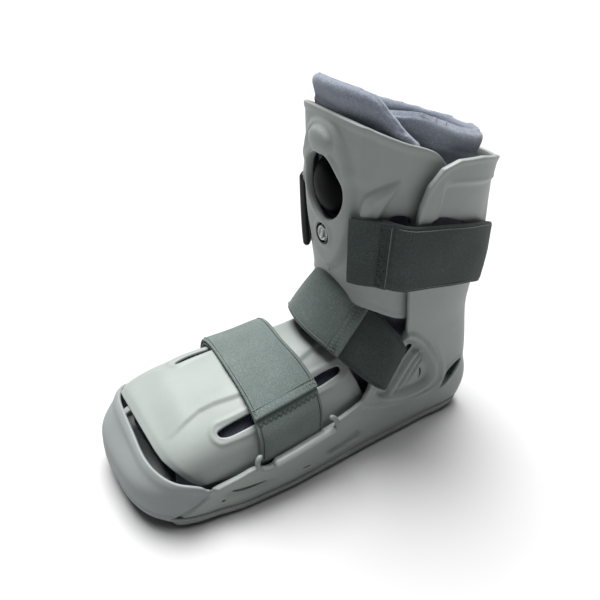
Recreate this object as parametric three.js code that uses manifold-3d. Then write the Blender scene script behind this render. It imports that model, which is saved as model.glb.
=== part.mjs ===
// Short pneumatic walking boot: a hard rear shell with a rocker sole, a rubber toe
// bumper, a vented forefoot panel, a shin panel with an inflation bulb and a cell
// selector, a padded fabric liner, and three hook-and-loop straps on loops.
// Millimetres, +Z up, toes toward -Y, wearer's left side at +X. The origin is on the
// ground under the middle of the boot's bounding box.
import * as THREE from 'three';
import * as BufferGeometryUtils from 'three/addons/utils/BufferGeometryUtils.js';
import Module from 'manifold-3d';

const wasm = await Module();
wasm.setup();

// ---------------------------------------------------------------- driving sizes
const WALL = 3.2;            // hard shell wall
const GAP = 0.4;             // clearance between pieces that touch
const SHIFT_Y = 0.35;        // puts the origin at the middle of the length
const SOLE_T = 7;            // rubber outsole thickness
const FLOOR_Z = 17;          // top of the shell's floor
const TOE_TIP = -151.0;      // foremost point of the shell outline
const TOE_START = -98;       // where the toe rounding starts
const TOE_N = 3.0;           // squareness of the toe
const HEEL_START = 104;      // where the heel rounding starts at the sole
const LEG_START = 74;        // where the back of the leg starts to round
const HEEL_N = 3.0;          // squareness of the heel
const LEG_N = 2.3;           // squareness of the back of the leg
const TOE_SKEW = 0.11;       // the big-toe side reaches further forward
const TOE_TILT = 0.12;       // the big-toe side of the forefoot is higher
const PANEL_T = 2.8;         // forefoot and shin panel thickness
const LINER_T = 6.5;         // padded liner wall
const STRAP_W = 51;          // strap webbing width
const STRAP_T = 2.2;         // one layer of strap
const BULB_R = 22.6;         // inflation bulb radius
const BULB_Z = 213;          // height of the bulb's centre
const DIAL_R = 6.4;          // cell selector radius
const DIAL_Z = 178;          // height of the selector's centre

// half width of the sole outline along the foot
const SOLE = [
  { y: -110, w: 56.6 }, { y: -98, w: 57.4 }, { y: -75, w: 59.2 }, { y: -40, w: 58.4 },
  { y: 0, w: 54.6 }, { y: 40, w: 50.2 }, { y: 80, w: 46.6 }, { y: 104, w: 44.6 }, { y: 125, w: 44.0 },
];
// the hard rear shell by height: back end, and half width of the leg part
const REAR = [
  { z: 0, back: 146.5, leg: 46.0 }, { z: 15, back: 150.0, leg: 46.0 }, { z: 35, back: 151.2, leg: 46.0 },
  { z: 60, back: 150.0, leg: 47.0 }, { z: 90, back: 148.8, leg: 49.5 }, { z: 120, back: 148.4, leg: 51.5 },
  { z: 150, back: 149.4, leg: 53.5 }, { z: 178, back: 147.4, leg: 55.6 }, { z: 200, back: 143.6, leg: 57.3 },
  { z: 222, back: 141.2, leg: 59.0 }, { z: 250, back: 143.5, leg: 61.0 },
];
// shin panel by height: front end and half width
const SHIN = [
  { z: 105, front: 27.5, half: 46.0 }, { z: 130, front: 24.0, half: 47.6 }, { z: 160, front: 19.0, half: 49.6 },
  { z: 190, front: 16.2, half: 51.0 }, { z: 220, front: 14.2, half: 52.0 }, { z: 275, front: 10.5, half: 53.2 },
];
const SHIN_MID = 66;         // where the shin section is widest
const SHIN_N = 3.1;          // squareness of the shin section
// forefoot panel: height of its crown along the foot
const CROWN = [
  { y: -136, z: 54 }, { y: -126, z: 59.5 }, { y: -112, z: 65.5 }, { y: -92, z: 72 }, { y: -68, z: 79 },
  { y: -36, z: 86 }, { y: -10, z: 91.5 }, { y: 8, z: 95.5 }, { y: 30, z: 102 }, { y: 60, z: 108 },
];
// squareness of the forefoot arch, boxy at the toes and rounder at the instep
const archN = (y) => 2.5 + 0.9 * smooth(0, -110, y);
// rocker: height of the sole's underside
const ROCKER = [
  { y: -156, z: 11 }, { y: -140, z: 7.6 }, { y: -120, z: 4.2 }, { y: -95, z: 1.2 }, { y: -70, z: 0 },
  { y: 80, z: 0 }, { y: 110, z: 0.9 }, { y: 135, z: 3.0 }, { y: 156, z: 6.0 },
];

// ---------------------------------------------------------------- small tools
const clamp = (v, a, b) => Math.min(b, Math.max(a, v));
const mix = (a, b, t) => a + (b - a) * t;
const smooth = (a, b, v) => { const t = clamp((v - a) / (b - a), 0, 1); return t * t * (3 - 2 * t); };
const spow = (v, p) => Math.sign(v) * Math.pow(Math.abs(v), p);

// a monotone smooth curve through one column of a table
function column(rows, key, col) {
  const n = rows.length, x = rows.map((r) => r[key]), v = rows.map((r) => r[col]);
  const d = [], m = new Array(n).fill(0);
  for (let i = 0; i < n - 1; i++) d.push((v[i + 1] - v[i]) / (x[i + 1] - x[i]));
  m[0] = d[0]; m[n - 1] = d[n - 2];
  for (let i = 1; i < n - 1; i++) m[i] = d[i - 1] * d[i] <= 0 ? 0 : 2 * d[i - 1] * d[i] / (d[i - 1] + d[i]);
  return (t) => {
    if (t <= x[0]) return v[0] + (t - x[0]) * 0;
    if (t >= x[n - 1]) return v[n - 1];
    let i = 0; while (t > x[i + 1]) i++;
    const h = x[i + 1] - x[i], s = (t - x[i]) / h, s2 = s * s, s3 = s2 * s;
    return (2 * s3 - 3 * s2 + 1) * v[i] + (s3 - 2 * s2 + s) * h * m[i] + (-2 * s3 + 3 * s2) * v[i + 1] + (s3 - s2) * h * m[i + 1];
  };
}
const soleW = column(SOLE, 'y', 'w');
const rearBack = column(REAR, 'z', 'back'), rearLeg = column(REAR, 'z', 'leg');
const shinFront = column(SHIN, 'z', 'front'), shinHalf = column(SHIN, 'z', 'half');
const crown = column(CROWN, 'y', 'z');
const rocker = column(ROCKER, 'y', 'z');

// a closed geometry from rings of points, each ring running the same way
function loft(rings) {
  const n = rings[0].length, pos = [], idx = [];
  for (const r of rings) for (const p of r) pos.push(p[0], p[1], p[2]);
  for (let k = 0; k < rings.length - 1; k++) for (let i = 0; i < n; i++) {
    const a = k * n + i, b = k * n + (i + 1) % n, c = a + n, d = b + n;
    idx.push(a, b, d, a, d, c);
  }
  for (const [k, flip] of [[0, true], [rings.length - 1, false]]) {
    const c = [0, 0, 0]; for (const p of rings[k]) for (let j = 0; j < 3; j++) c[j] += p[j] / n;
    const m = pos.length / 3; pos.push(...c);
    for (let i = 0; i < n; i++) {
      const a = k * n + i, b = k * n + (i + 1) % n;
      if (flip) idx.push(m, b, a); else idx.push(m, a, b);
    }
  }
  return geometry(pos, idx);
}
function geometry(pos, idx) {
  const g = new THREE.BufferGeometry();
  g.setAttribute('position', new THREE.Float32BufferAttribute(pos, 3));
  g.setIndex(idx);
  return g;
}
// a closed plate from a grid of outer points and the matching inner points
function plate(outer, inner) {
  const nu = outer.length, nv = outer[0].length, pos = [], idx = [], N = nu * nv;
  for (const g of [outer, inner]) for (const r of g) for (const p of r) pos.push(p[0], p[1], p[2]);
  const id = (s, i, j) => s * N + i * nv + j;
  for (let i = 0; i < nu - 1; i++) for (let j = 0; j < nv - 1; j++) {
    idx.push(id(0, i, j), id(0, i + 1, j), id(0, i + 1, j + 1), id(0, i, j), id(0, i + 1, j + 1), id(0, i, j + 1));
    idx.push(id(1, i, j), id(1, i + 1, j + 1), id(1, i + 1, j), id(1, i, j), id(1, i, j + 1), id(1, i + 1, j + 1));
  }
  for (let i = 0; i < nu - 1; i++) {
    idx.push(id(0, i, 0), id(1, i, 0), id(1, i + 1, 0), id(0, i, 0), id(1, i + 1, 0), id(0, i + 1, 0));
    idx.push(id(0, i, nv - 1), id(1, i + 1, nv - 1), id(1, i, nv - 1), id(0, i, nv - 1), id(0, i + 1, nv - 1), id(1, i + 1, nv - 1));
  }
  for (let j = 0; j < nv - 1; j++) {
    idx.push(id(0, 0, j), id(1, 0, j + 1), id(1, 0, j), id(0, 0, j), id(0, 0, j + 1), id(1, 0, j + 1));
    idx.push(id(0, nu - 1, j), id(1, nu - 1, j), id(1, nu - 1, j + 1), id(0, nu - 1, j), id(1, nu - 1, j + 1), id(0, nu - 1, j + 1));
  }
  return geometry(pos, idx);
}
// the main body of a solid, without slivers left by a cut
const mainBody = (man) => man.decompose().sort((a, b) => b.volume() - a.volume())[0];
// a solid for cutting and joining, always with its faces pointing out
function solid(geo) {
  const g = geo.clone(); g.deleteAttribute('normal'); g.deleteAttribute('uv');
  const m = BufferGeometryUtils.mergeVertices(g, 1e-4);
  const p = m.attributes.position.array;
  const all = m.index ? Array.from(m.index.array) : [...Array(p.length / 3).keys()], t = [];
  for (let i = 0; i < all.length; i += 3) {
    const [a, b, c] = [all[i], all[i + 1], all[i + 2]];
    if (a !== b && b !== c && a !== c) t.push(a, b, c);
  }
  let v6 = 0;
  for (let i = 0; i < t.length; i += 3) {
    const [a, b, c] = [t[i] * 3, t[i + 1] * 3, t[i + 2] * 3];
    v6 += p[a] * (p[b + 1] * p[c + 2] - p[b + 2] * p[c + 1]) - p[a + 1] * (p[b] * p[c + 2] - p[b + 2] * p[c]) + p[a + 2] * (p[b] * p[c + 1] - p[b + 1] * p[c]);
  }
  if (v6 < 0) for (let i = 0; i < t.length; i += 3) { const s = t[i]; t[i] = t[i + 1]; t[i + 1] = s; }
  return new wasm.Manifold(new wasm.Mesh({ numProp: 3, vertProperties: new Float32Array(p), triVerts: new Uint32Array(t) }));
}
function toGeometry(man) {
  const m = man.getMesh();
  const g = geometry(Array.from(m.vertProperties), Array.from(m.triVerts));
  g.computeVertexNormals();
  return g;
}
// prisms: an outline in one plane run along the third axis
const shapeOf = (pts) => new THREE.Shape(pts.map(([a, b]) => new THREE.Vector2(a, b)));
function prism(shape, depth, place) {
  const g = new THREE.ExtrudeGeometry(shape, { depth, bevelEnabled: false, curveSegments: 10 });
  g.applyMatrix4(place);
  return g;
}
// outline (y,z) run along x from x0 to x1
function alongX(shape, x0, x1) {
  const m = new THREE.Matrix4().makeBasis(new THREE.Vector3(0, 1, 0), new THREE.Vector3(0, 0, 1), new THREE.Vector3(1, 0, 0));
  m.setPosition(x0, 0, 0);
  return prism(shape, x1 - x0, m);
}
// outline (x,y) run along z from z0 to z1
function alongZ(shape, z0, z1) {
  return prism(shape, z1 - z0, new THREE.Matrix4().makeTranslation(0, 0, z0));
}
// outline (x,z) run along y from y0 to y1
function alongY(shape, y0, y1) {
  const m = new THREE.Matrix4().makeBasis(new THREE.Vector3(1, 0, 0), new THREE.Vector3(0, 0, 1), new THREE.Vector3(0, -1, 0));
  m.setPosition(0, y1, 0);
  return prism(shape, y1 - y0, m);
}
// a slot outline with round ends between two points
function slotShape(a, b, r, n = 6) {
  const t = Math.atan2(b[1] - a[1], b[0] - a[0]), pts = [];
  for (let i = 0; i <= n; i++) { const q = t + Math.PI / 2 + Math.PI * i / n; pts.push([a[0] + r * Math.cos(q), a[1] + r * Math.sin(q)]); }
  for (let i = 0; i <= n; i++) { const q = t - Math.PI / 2 + Math.PI * i / n; pts.push([b[0] + r * Math.cos(q), b[1] + r * Math.sin(q)]); }
  return shapeOf(pts);
}
// a smooth outline through points
function curvePts(pts, n, closed = false) {
  const c = new THREE.CatmullRomCurve3(pts.map(([a, b]) => new THREE.Vector3(a, b, 0)), closed, 'centripetal');
  return c.getPoints(n).map((p) => [p.x, p.y]);
}

// ---------------------------------------------------------------- main surfaces
// the toe leans back with height
const toeTip = (z) => TOE_TIP + 4.0 * smooth(18, 0, z) + 13.5 * smooth(32, 55, z);
const toeSkew = (x, y) => TOE_SKEW * x * smooth(-55, -125, y);
const toeTilt = (x, y) => -TOE_TILT * x * smooth(-20, -115, y);
// half width of the shell wall at a place along the foot and a height
function sideHalf(y, z) {
  const leg = rearLeg(z), s = smooth(48, 112, z);
  const front = y < 75 ? Math.pow(Math.max(0, 1 - Math.pow((75 - y) / 86, 3.0)), 1 / 3.0) : 1;
  const flare = 1.6 * smooth(8, 40, z) - 0.8;
  return mix(soleW(y) + flare, leg * front, s);
}
// one horizontal section of the shell outline, moved in by d
function footRing(z, d, toeCount = 7, sideCount = 10, heelCount = 7) {
  const up = smooth(50, 112, z), start = mix(TOE_START, 20, up);
  const from = mix(HEEL_START, LEG_START, up), nBack = mix(HEEL_N, LEG_N, up);
  const half = [], back = rearBack(z) - d, tip = mix(toeTip(z), -12, up) + d;
  const wH = sideHalf(from, z) - d, wT = sideHalf(start, z) - d;
  for (let i = 0; i < heelCount; i++) {
    const q = (Math.PI / 2) * i / heelCount;
    half.push([wH * spow(Math.sin(q), 2 / nBack), from + (back - from) * spow(Math.cos(q), 2 / nBack)]);
  }
  for (let i = 0; i < sideCount; i++) {
    const y = mix(from, start, i / sideCount);
    half.push([sideHalf(y, z) - d, y]);
  }
  for (let i = 0; i <= toeCount; i++) {
    const q = (Math.PI / 2) * i / toeCount;
    half.push([wT * spow(Math.cos(q), 2 / TOE_N), start + (tip - start) * spow(Math.sin(q), 2 / TOE_N)]);
  }
  const other = half.slice(1, -1).reverse().map(([x, y]) => [-x, y]);
  return [...half, ...other].map(([x, y]) => [x, y + toeSkew(x, y), z]);
}
function shellLoft(levels, d) { return loft(levels.map((z) => footRing(z, d))); }

// front half of the shin section at a height, moved in by d; u runs -1..1 round the front
function shinLine(z, d, reach) {
  const half = shinHalf(z) - d, depth = SHIN_MID - shinFront(z) - d, pts = [];
  for (let i = 0; i <= 80; i++) {
    const q = (Math.PI / 2) * (i / 80);
    pts.push([half * spow(Math.sin(q), 2 / SHIN_N), SHIN_MID - depth * spow(Math.cos(q), 2 / SHIN_N)]);
  }
  pts.push([half - 0.2, SHIN_MID + reach]);
  return pts;
}
function alongLine(pts, s) {
  const len = [0];
  for (let i = 1; i < pts.length; i++) len.push(len[i - 1] + Math.hypot(pts[i][0] - pts[i - 1][0], pts[i][1] - pts[i - 1][1]));
  const t = Math.abs(s) * len[len.length - 1];
  let i = 1; while (i < pts.length - 1 && len[i] < t) i++;
  const k = (t - len[i - 1]) / (len[i] - len[i - 1]);
  return [Math.sign(s || 1) * mix(pts[i - 1][0], pts[i][0], k), mix(pts[i - 1][1], pts[i][1], k)];
}
// height of the shin panel's upper and lower edge at a place (x, y)
const shinTop = (y) => 266.5 - 0.66 * (y - 8) - 30 * smooth(60, 82, y);
const shinBottom = (y) => 131 - 11 * smooth(22, 60, y) + 7 * smooth(60, 76, y);

// forefoot arch: q is the angle from the crown (0) to the side edge (1 at the wall)
const archHalf = (y, d) => Math.max(6, soleW(y) - 5.2 - d) * (y < -96 ? Math.pow(Math.max(0.02, 1 - Math.pow((-96 - y) / 47, 3)), 1 / 3) : 1);
function archPoint(y, s, d, base = 26) {
  const q = Math.abs(s) * Math.PI / 2, h = crown(y) - d - base, n = archN(y);
  const x = Math.sign(s) * archHalf(y, d) * spow(Math.sin(q), 2 / n), up = spow(Math.cos(q), 2 / n);
  return [x, y + toeSkew(x, y), base + h * up + toeTilt(x, y) * Math.min(1, 2 * up)];
}

// a flat band along a path: centre, width direction and outward normal at each station
function band(stations, width, thick) {
  const rings = stations.map(({ p, w, n }) => {
    const P = new THREE.Vector3(...p), W = new THREE.Vector3(...w).normalize(), N = new THREE.Vector3(...n);
    N.addScaledVector(W, -N.dot(W)).normalize();
    const a = W.clone().multiplyScalar(width / 2), t = N.clone().multiplyScalar(thick);
    return [P.clone().sub(a), P.clone().add(a), P.clone().add(a).add(t), P.clone().sub(a).add(t)].map((v) => [v.x, v.y, v.z]);
  });
  return loft(rings);
}

// ---------------------------------------------------------------- materials
const M = (color, roughness, metalness = 0) => new THREE.MeshStandardMaterial({ color, roughness, metalness });
const PLASTIC = M('#8f9794', 0.5), RUBBER = M('#848b88', 0.7), SOLE_M = M('#70767a', 0.8), FABRIC = M('#7b8190', 0.95),
  WEBBING = M('#4a5250', 0.9), WEBBING_LIGHT = M('#6f7876', 0.9), BLACK = M('#101412', 0.35), LOOP = M('#a7adaa', 0.45);

const boot = new THREE.Group();
boot.name = 'walking_boot';
function addPiece(name, geo, material) {
  geo.computeVertexNormals();
  const mesh = new THREE.Mesh(geo, material);
  mesh.name = name;
  boot.add(mesh);
  return mesh;
}
const addSolid = (name, man, material) => addPiece(name, toGeometry(mainBody(man)), material);

// ---------------------------------------------------------------- rear shell, bumper, outsole
const LEVELS = [0, 8, 16, 26, 36, 46, 56, 68, 80, 92, 104, 118, 140, 160, 180, 200, 222, 246];
const outerAll = solid(shellLoft(LEVELS, 0));
const innerAll = solid(shellLoft([FLOOR_Z - 1, 26, 36, 46, 56, 68, 80, 92, 104, 118, 140, 160, 180, 200, 222, 252], WALL));
const rockerLine = (dz, n = 40) => [...Array(n + 1).keys()].map((i) => { const y = mix(-156, 156, i / n); return [y, rocker(y) + dz]; });

// side view of what the rear shell keeps: low walls, ankle ears, leg wings
const SEAM = [{ y: -97, z: 60 }, { y: -97, z: 37.5 }, { y: -106, z: 27 }, { y: -116, z: 17 }, { y: -124, z: 11 }, { y: -126, z: -5 }];
const floorTop = (y) => FLOOR_Z + 4.5 * smooth(-95, -150, y);
const WALL_TOP = [
  [-97, 38], [-88, 40], [-78, 42], [-66, 45.5], [-50, 48], [-30, 51], [-8, 55.5], [8, 58], [24, 60],
];
const EAR = [[33, 66], [37, 78], [42, 90], [50, 99.5], [58, 104.5], [61.5, 110], [60.5, 122], [57.5, 138], [54.8, 155], [51.8, 175], [50, 195], [50.5, 212], [54, 226], [62, 236], [74, 240]];
const WING_TOP = [[74, 240], [95, 239], [118, 234], [140, 226], [165, 221]];
const keep = shapeOf([
  ...rockerLine(SOLE_T + GAP, 30).filter(([y]) => y >= -156),
  [175, 13], [175, 219],
  ...[...WING_TOP].reverse(),
  ...curvePts([...WALL_TOP, ...EAR], 46).reverse().slice(1),
  [-160, 38], [-160, 19.5],
]);
const aboveFloor = shapeOf([...[...Array(13).keys()].map((i) => { const y = mix(-160, -88, i / 12); return [y, floorTop(y)]; }), [175, FLOOR_Z], [175, 260], [-160, 260]]);
const seamZone = (g) => solid(alongX(shapeOf([...SEAM.map((r) => [r.y + g, r.z]), [-175, -5], [-175, 60]]), -90, 90));
const cavity = innerAll.intersect(solid(alongX(aboveFloor, -90, 90)));
let rear = outerAll.subtract(cavity).intersect(solid(alongX(keep, -90, 90)));
const toeRing = solid(shellLoft([-6, 8, 16, 26, 36, 44, 52, 62], -3)).subtract(solid(shellLoft([-8, 8, 16, 26, 36, 44, 52, 64], WALL + GAP)));
rear = rear.subtract(toeRing.intersect(seamZone(GAP)));
// strap windows in the wings, one slanting opening behind each front post
const WINDOW = [[60, 200], [66, 203.5], [80, 200], [94, 193], [100, 186], [98, 156], [92, 150], [64, 160], [60, 166]];
rear = rear.subtract(solid(alongX(shapeOf(WINDOW), -90, 90)));
// heel slot: a slim slanting lens through each corner of the heel
const LENS = [[110, 30], [116, 32.5], [127, 41], [138, 53.5], [141, 60], [136, 57.5], [125, 48], [114, 36.5]];
const lens = solid(alongX(shapeOf(LENS), 18, 90)), lensR = solid(alongX(shapeOf(LENS), -90, -18));
rear = rear.subtract(lens).subtract(lensR);
// side slots in the low walls
const SIDE_SLOTS = [
  { y0: -84, z0: 23, y1: -56, z1: 25, r: 1.7 }, { y0: -5, z0: 27, y1: 18, z1: 36, r: 1.7 },
];
for (const s of SIDE_SLOTS) rear = rear.subtract(solid(alongX(slotShape([s.y0, s.z0], [s.y1, s.z1], s.r), -90, 90)));
// strap slots behind the ankle bar
const BAR_A = [68, 90], BAR_B = [50, 57];
rear = rear.subtract(solid(alongX(slotShape([BAR_A[0] - 5.2, BAR_A[1] - 0.5], [BAR_B[0] - 5.2, BAR_B[1] + 1.5], 3.1), -90, 90)));
addSolid('rear_shell', rear, PLASTIC);

// toe bumper: the same wall, forward of the seam
const BUMPER_TOP = [[-97.5, 38.4], [-104, 41], [-114, 44.5], [-126, 46.5], [-140, 47], [-165, 47]];
const bumperShape = shapeOf([...rockerLine(SOLE_T + GAP, 60).filter(([y]) => y < -112), [-110, 9], [-90, 9], [-90, 30], ...BUMPER_TOP]);
// the bumper stands higher on the big-toe side
function tiltedTop(g) {
  const p = g.attributes.position;
  for (let i = 0; i < p.count; i++) if (p.getZ(i) > 35) p.setZ(i, p.getZ(i) - 0.1 * p.getX(i) * smooth(-100, -124, p.getY(i)));
  return g;
}
const bumper = solid(shellLoft([-6, 8, 16, 26, 36, 44, 52, 62], -0.4)).subtract(solid(shellLoft([-8, 8, 16, 26, 36, 44, 52, 64], WALL)))
  .intersect(solid(tiltedTop(alongX(bumperShape, -90, 90)))).intersect(seamZone(0));
addSolid('toe_bumper', bumper, RUBBER);

// outsole: a rocker plate under the shell
const soleShape = shapeOf([...rockerLine(0), ...rockerLine(SOLE_T).reverse()]);
const outsole = solid(loft([[-1, 3.5], [2.5, 0.2], [8, -1.0], [20, -1.0]].map(([z, d]) => footRing(z, d)))).intersect(solid(alongX(soleShape, -90, 90)));
addSolid('outsole', outsole, SOLE_M);

// ---------------------------------------------------------------- forefoot panel
const panelFront = -130.5, panelBack = (s) => mix(12, 44, Math.pow(Math.abs(s), 1.6));
function panelGrid(d) {
  const g = [];
  for (let i = 0; i <= 22; i++) {
    const s = mix(-0.985, 0.985, i / 22), row = [];
    for (let j = 0; j <= 12; j++) {
      const y = mix(panelFront, panelBack(s), Math.pow(j / 12, 0.85));
      row.push(archPoint(y, s, d, 30 - 0.2 * d));
    }
    g.push(row);
  }
  return g;
}
let fpanel = solid(plate(panelGrid(0), panelGrid(PANEL_T)));
for (const sx of [-1, 1]) {
  fpanel = fpanel.subtract(solid(alongZ(slotShape([sx * 38, -82], [sx * 37, -46], 3.0), 50, 120)));
  fpanel = fpanel.subtract(solid(alongZ(slotShape([sx * 35.5, -13], [sx * 33.5, 13], 3.2), 50, 130)));
}
const underTop = solid(tiltedTop(alongX(shapeOf([[-170, 0], [-92, 0], [-92, 37], ...BUMPER_TOP.map(([y, z]) => [y, z + GAP])]), -90, 90)));
fpanel = fpanel.subtract(toeRing.intersect(underTop));
addSolid('forefoot_panel', fpanel, PLASTIC);

// ---------------------------------------------------------------- shin panel
function shinGrid(d) {
  const g = [], NU = 30, NV = 7;
  for (let i = 0; i <= NU; i++) {
    const s = mix(-1, 1, i / NU), row = [];
    const ref = alongLine(shinLine(200, d, 10), s);
    for (let j = 0; j <= NV; j++) {
      const z = mix(shinBottom(ref[1]), shinTop(ref[1]), j / NV);
      const p = alongLine(shinLine(z, d, 10), s);
      row.push([p[0], p[1], z]);
    }
    g.push(row);
  }
  return g;
}
let shin = solid(plate(shinGrid(0), shinGrid(PANEL_T)));
const faceY = (z) => shinFront(z);
// raised oval surround of the bulb and selector
const bezelShape = shapeOf(curvePts([[0, 252], [16, 246], [27, 228], [29, 208], [25, 186], [15, 165], [0, 156], [-15, 165], [-25, 186], [-29, 208], [-27, 228], [-16, 246]], 40, true));
function slab(shape, back, front) { // an oval slab that follows the leaning front face
  const g = alongY(shape, 0, 1), p = g.attributes.position;
  for (let i = 0; i < p.count; i++) {
    const z = p.getZ(i), lean = faceY(z);
    p.setY(i, lean + (p.getY(i) < 0.5 ? -front : back));
  }
  return g;
}
const bezel = solid(slab(bezelShape, 1.5, 3.0));
const circle = (r, z, n = 32) => shapeOf([...Array(n).keys()].map((i) => [r * Math.cos(2 * Math.PI * i / n), z + r * Math.sin(2 * Math.PI * i / n)]));
shin = shin.add(bezel);
shin = shin.subtract(solid(alongY(circle(BULB_R + 0.5, BULB_Z), -20, 40)));
shin = shin.subtract(solid(alongY(circle(DIAL_R + 2.2, DIAL_Z, 24), -20, 40)));
addSolid('shin_panel', shin, PLASTIC);

// inflation bulb: a rubber dome with a flange behind the panel
const bulbProfile = [[0, -6.5], [6, -6.1], [12, -4.6], [17, -1.6], [20.2, 2.6], [BULB_R - 0.1, 6.4], [BULB_R - 0.1, 8.6], [0, 8.6]].map(([r, y]) => new THREE.Vector2(r, y));
const bulb = new THREE.LatheGeometry(bulbProfile, 32);
bulb.translate(0, faceY(BULB_Z) - 3.6, 0); bulb.translate(0, 0, BULB_Z);
const bulbSolid = solid(bulb);
addSolid('inflation_bulb', bulbSolid, BLACK);
// black seat ring and the turning selector
const lean = Math.atan2(faceY(150) - faceY(200), 50);
function seatRing(r0, r1, y0, y1, n = 24) {
  const g = new THREE.LatheGeometry([[r0, y0], [r1, y0], [r1, y1], [r0, y1], [r0, y0]].map(([r, y]) => new THREE.Vector2(r, y)), n);
  g.translate(0, faceY(DIAL_Z), 0); g.translate(0, 0, DIAL_Z);
  return g;
}
addSolid('selector_seat', solid(seatRing(DIAL_R + 0.4, DIAL_R + 1.9, -2.6, 2.4)).add(solid((() => {
  const g = new THREE.LatheGeometry([[0, 2.0], [DIAL_R + 1.9, 2.0], [DIAL_R + 1.9, 4.2], [0, 4.2]].map(([r, y]) => new THREE.Vector2(r, y)), 24);
  g.translate(0, faceY(DIAL_Z), 0); g.translate(0, 0, DIAL_Z);
  return g;
})())), BLACK);
const dialGeo = new THREE.LatheGeometry([[0, -3.0], [DIAL_R - 0.8, -3.0], [DIAL_R, -2.2], [DIAL_R, 1.6], [0, 1.6]].map(([r, y]) => new THREE.Vector2(r, y)), 24);
dialGeo.translate(0, faceY(DIAL_Z), 0); dialGeo.translate(0, 0, DIAL_Z);
const pointer = new THREE.BoxGeometry(2.6, 2.6, 9.6); pointer.translate(0, faceY(DIAL_Z) - 3.6, DIAL_Z);
addSolid('selector_dial', solid(dialGeo).add(solid(pointer)), LOOP);

// ---------------------------------------------------------------- liner
const LEG = [
  { z: 30, front: 38, back: 141, half: 39.5 }, { z: 60, front: 40, back: 142.5, half: 40.5 }, { z: 90, front: 39, back: 142, half: 41.5 },
  { z: 120, front: 37.5, back: 142, half: 42.5 }, { z: 146, front: 34.5, back: 142.5, half: 43.2 }, { z: 180, front: 27.5, back: 140, half: 43.8 },
  { z: 205, front: 24.5, back: 137, half: 44.2 }, { z: 228, front: 22.5, back: 133.5, half: 44.8 }, { z: 255, front: 21.0, back: 130.5, half: 45.6 }, { z: 290, front: 19.5, back: 129, half: 46 },
];
const legFront = column(LEG, 'z', 'front'), legBack = column(LEG, 'z', 'back'), legHalf = column(LEG, 'z', 'half');
function legRing(z, d, n = 32) {
  const f = legFront(z) + d, b = legBack(z) - d, w = legHalf(z) - d, c = (f + b) / 2, r = (b - f) / 2, out = [];
  for (let i = 0; i < n; i++) {
    const q = 2 * Math.PI * i / n;
    out.push([w * spow(Math.sin(q), 2 / 2.5), c + r * spow(Math.cos(q), 2 / 2.5), z]);
  }
  return out;
}
const LINER_LEVELS = [24, 44, 64, 84, 104, 124, 150, 176, 202, 228, 250, 268, 290];
const legOuter = solid(loft(LINER_LEVELS.map((z) => legRing(z, 0))));
const legInner = solid(loft([26, 44, 64, 84, 104, 124, 150, 176, 202, 228, 250, 268, 292].map((z) => legRing(z, LINER_T))));
function footTube(d, y0, y1, floor, n = 12) {
  const rings = [];
  const ys = [y0, ...[-100, -80, -60, -40, -20, 0, 20, 40, 60, 80, 100].filter((y) => y > y0 + 4 && y < y1 - 4), y1];
  for (const y of ys) {
    const half = (Math.min(soleW(y), 60) - 6.0 - PANEL_T - 2.8 - d) * (y < -96 ? Math.pow(1 - Math.pow((-96 - y) / 50, 3), 1 / 3) : 1) * (y > 104 ? Math.pow(1 - Math.pow((y - 104) / 48, 2.5), 1 / 2.5) : 1);
    const top = Math.min(crown(y), 100) - PANEL_T - 3.2 - d, ring = [];
    for (let i = 0; i <= n; i++) {
      const q = Math.PI * (i / n - 0.5);
      ring.push([half * spow(Math.sin(q), 2 / archN(y)), y, 30 + (top - 30) * spow(Math.cos(q), 2 / archN(y))]);
    }
    ring.push([half - 4, y, floor], [-(half - 4), y, floor]);
    rings.push(ring.map(([x, v, z]) => [x, v + toeSkew(x, v), z + toeTilt(x, v) * smooth(30, 60, z)]));
  }
  return loft(rings);
}
const footOuter = solid(footTube(0, -122, 118, FLOOR_Z + 0.5));
const footInner = solid(footTube(LINER_T, -130, 112, FLOOR_Z + 0.5 + LINER_T));
// the top edge slopes down to the back
const rimCut = solid(alongX(shapeOf([[-10, 288], [8, 285], [20, 282], [50, 271.5], [69, 265], [92, 257], [115, 251], [135, 246], [175, 236], [175, 330], [-10, 330]]), -90, 90));
const linerKeep = solid(alongX(shapeOf([[-160, FLOOR_Z + 0.5], [175, FLOOR_Z + 0.5], [175, 330], [-160, 330]]), -90, 90));
// the space that the hard shell takes up, with clearance to its inside
const shellSpace = solid(shellLoft(LEVELS, -2)).subtract(solid(shellLoft([-2, ...LEVELS.slice(1, -1), 250], WALL + GAP)))
  .intersect(solid(alongX(shapeOf([[28, -4], [170, -4], [170, 245], [28, 245]]), -90, 90)));
function shinSpace(d, z0, z1) {
  const levels = [...Array(9).keys()].map((i) => mix(z0, z1, i / 8));
  return solid(loft(levels.map((z) => {
    const line = shinLine(z, d, 12), right = [];
    for (let i = 0; i <= 17; i++) right.push(alongLine(line, i / 17));
    return [...right.slice(1).reverse().map(([x, y]) => [-x, y, z]), ...right.map(([x, y]) => [Math.abs(x), y, z])];
  })));
}
const shinOutside = shinSpace(-GAP, 100, 280), shinInside = shinSpace(PANEL_T + GAP + 0.15, 90, 290);
const liner = legOuter.add(footOuter).subtract(legInner.add(footInner)).subtract(rimCut).intersect(linerKeep).subtract(shellSpace)
  .subtract(solid(alongX(shapeOf([...[...Array(13).keys()].map((i) => { const y = mix(-90, -160, i / 12); return [y, floorTop(y) + GAP]; }), [-160, 0], [-90, 0]]), -90, 90)));
addSolid('liner', liner, FABRIC);

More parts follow.
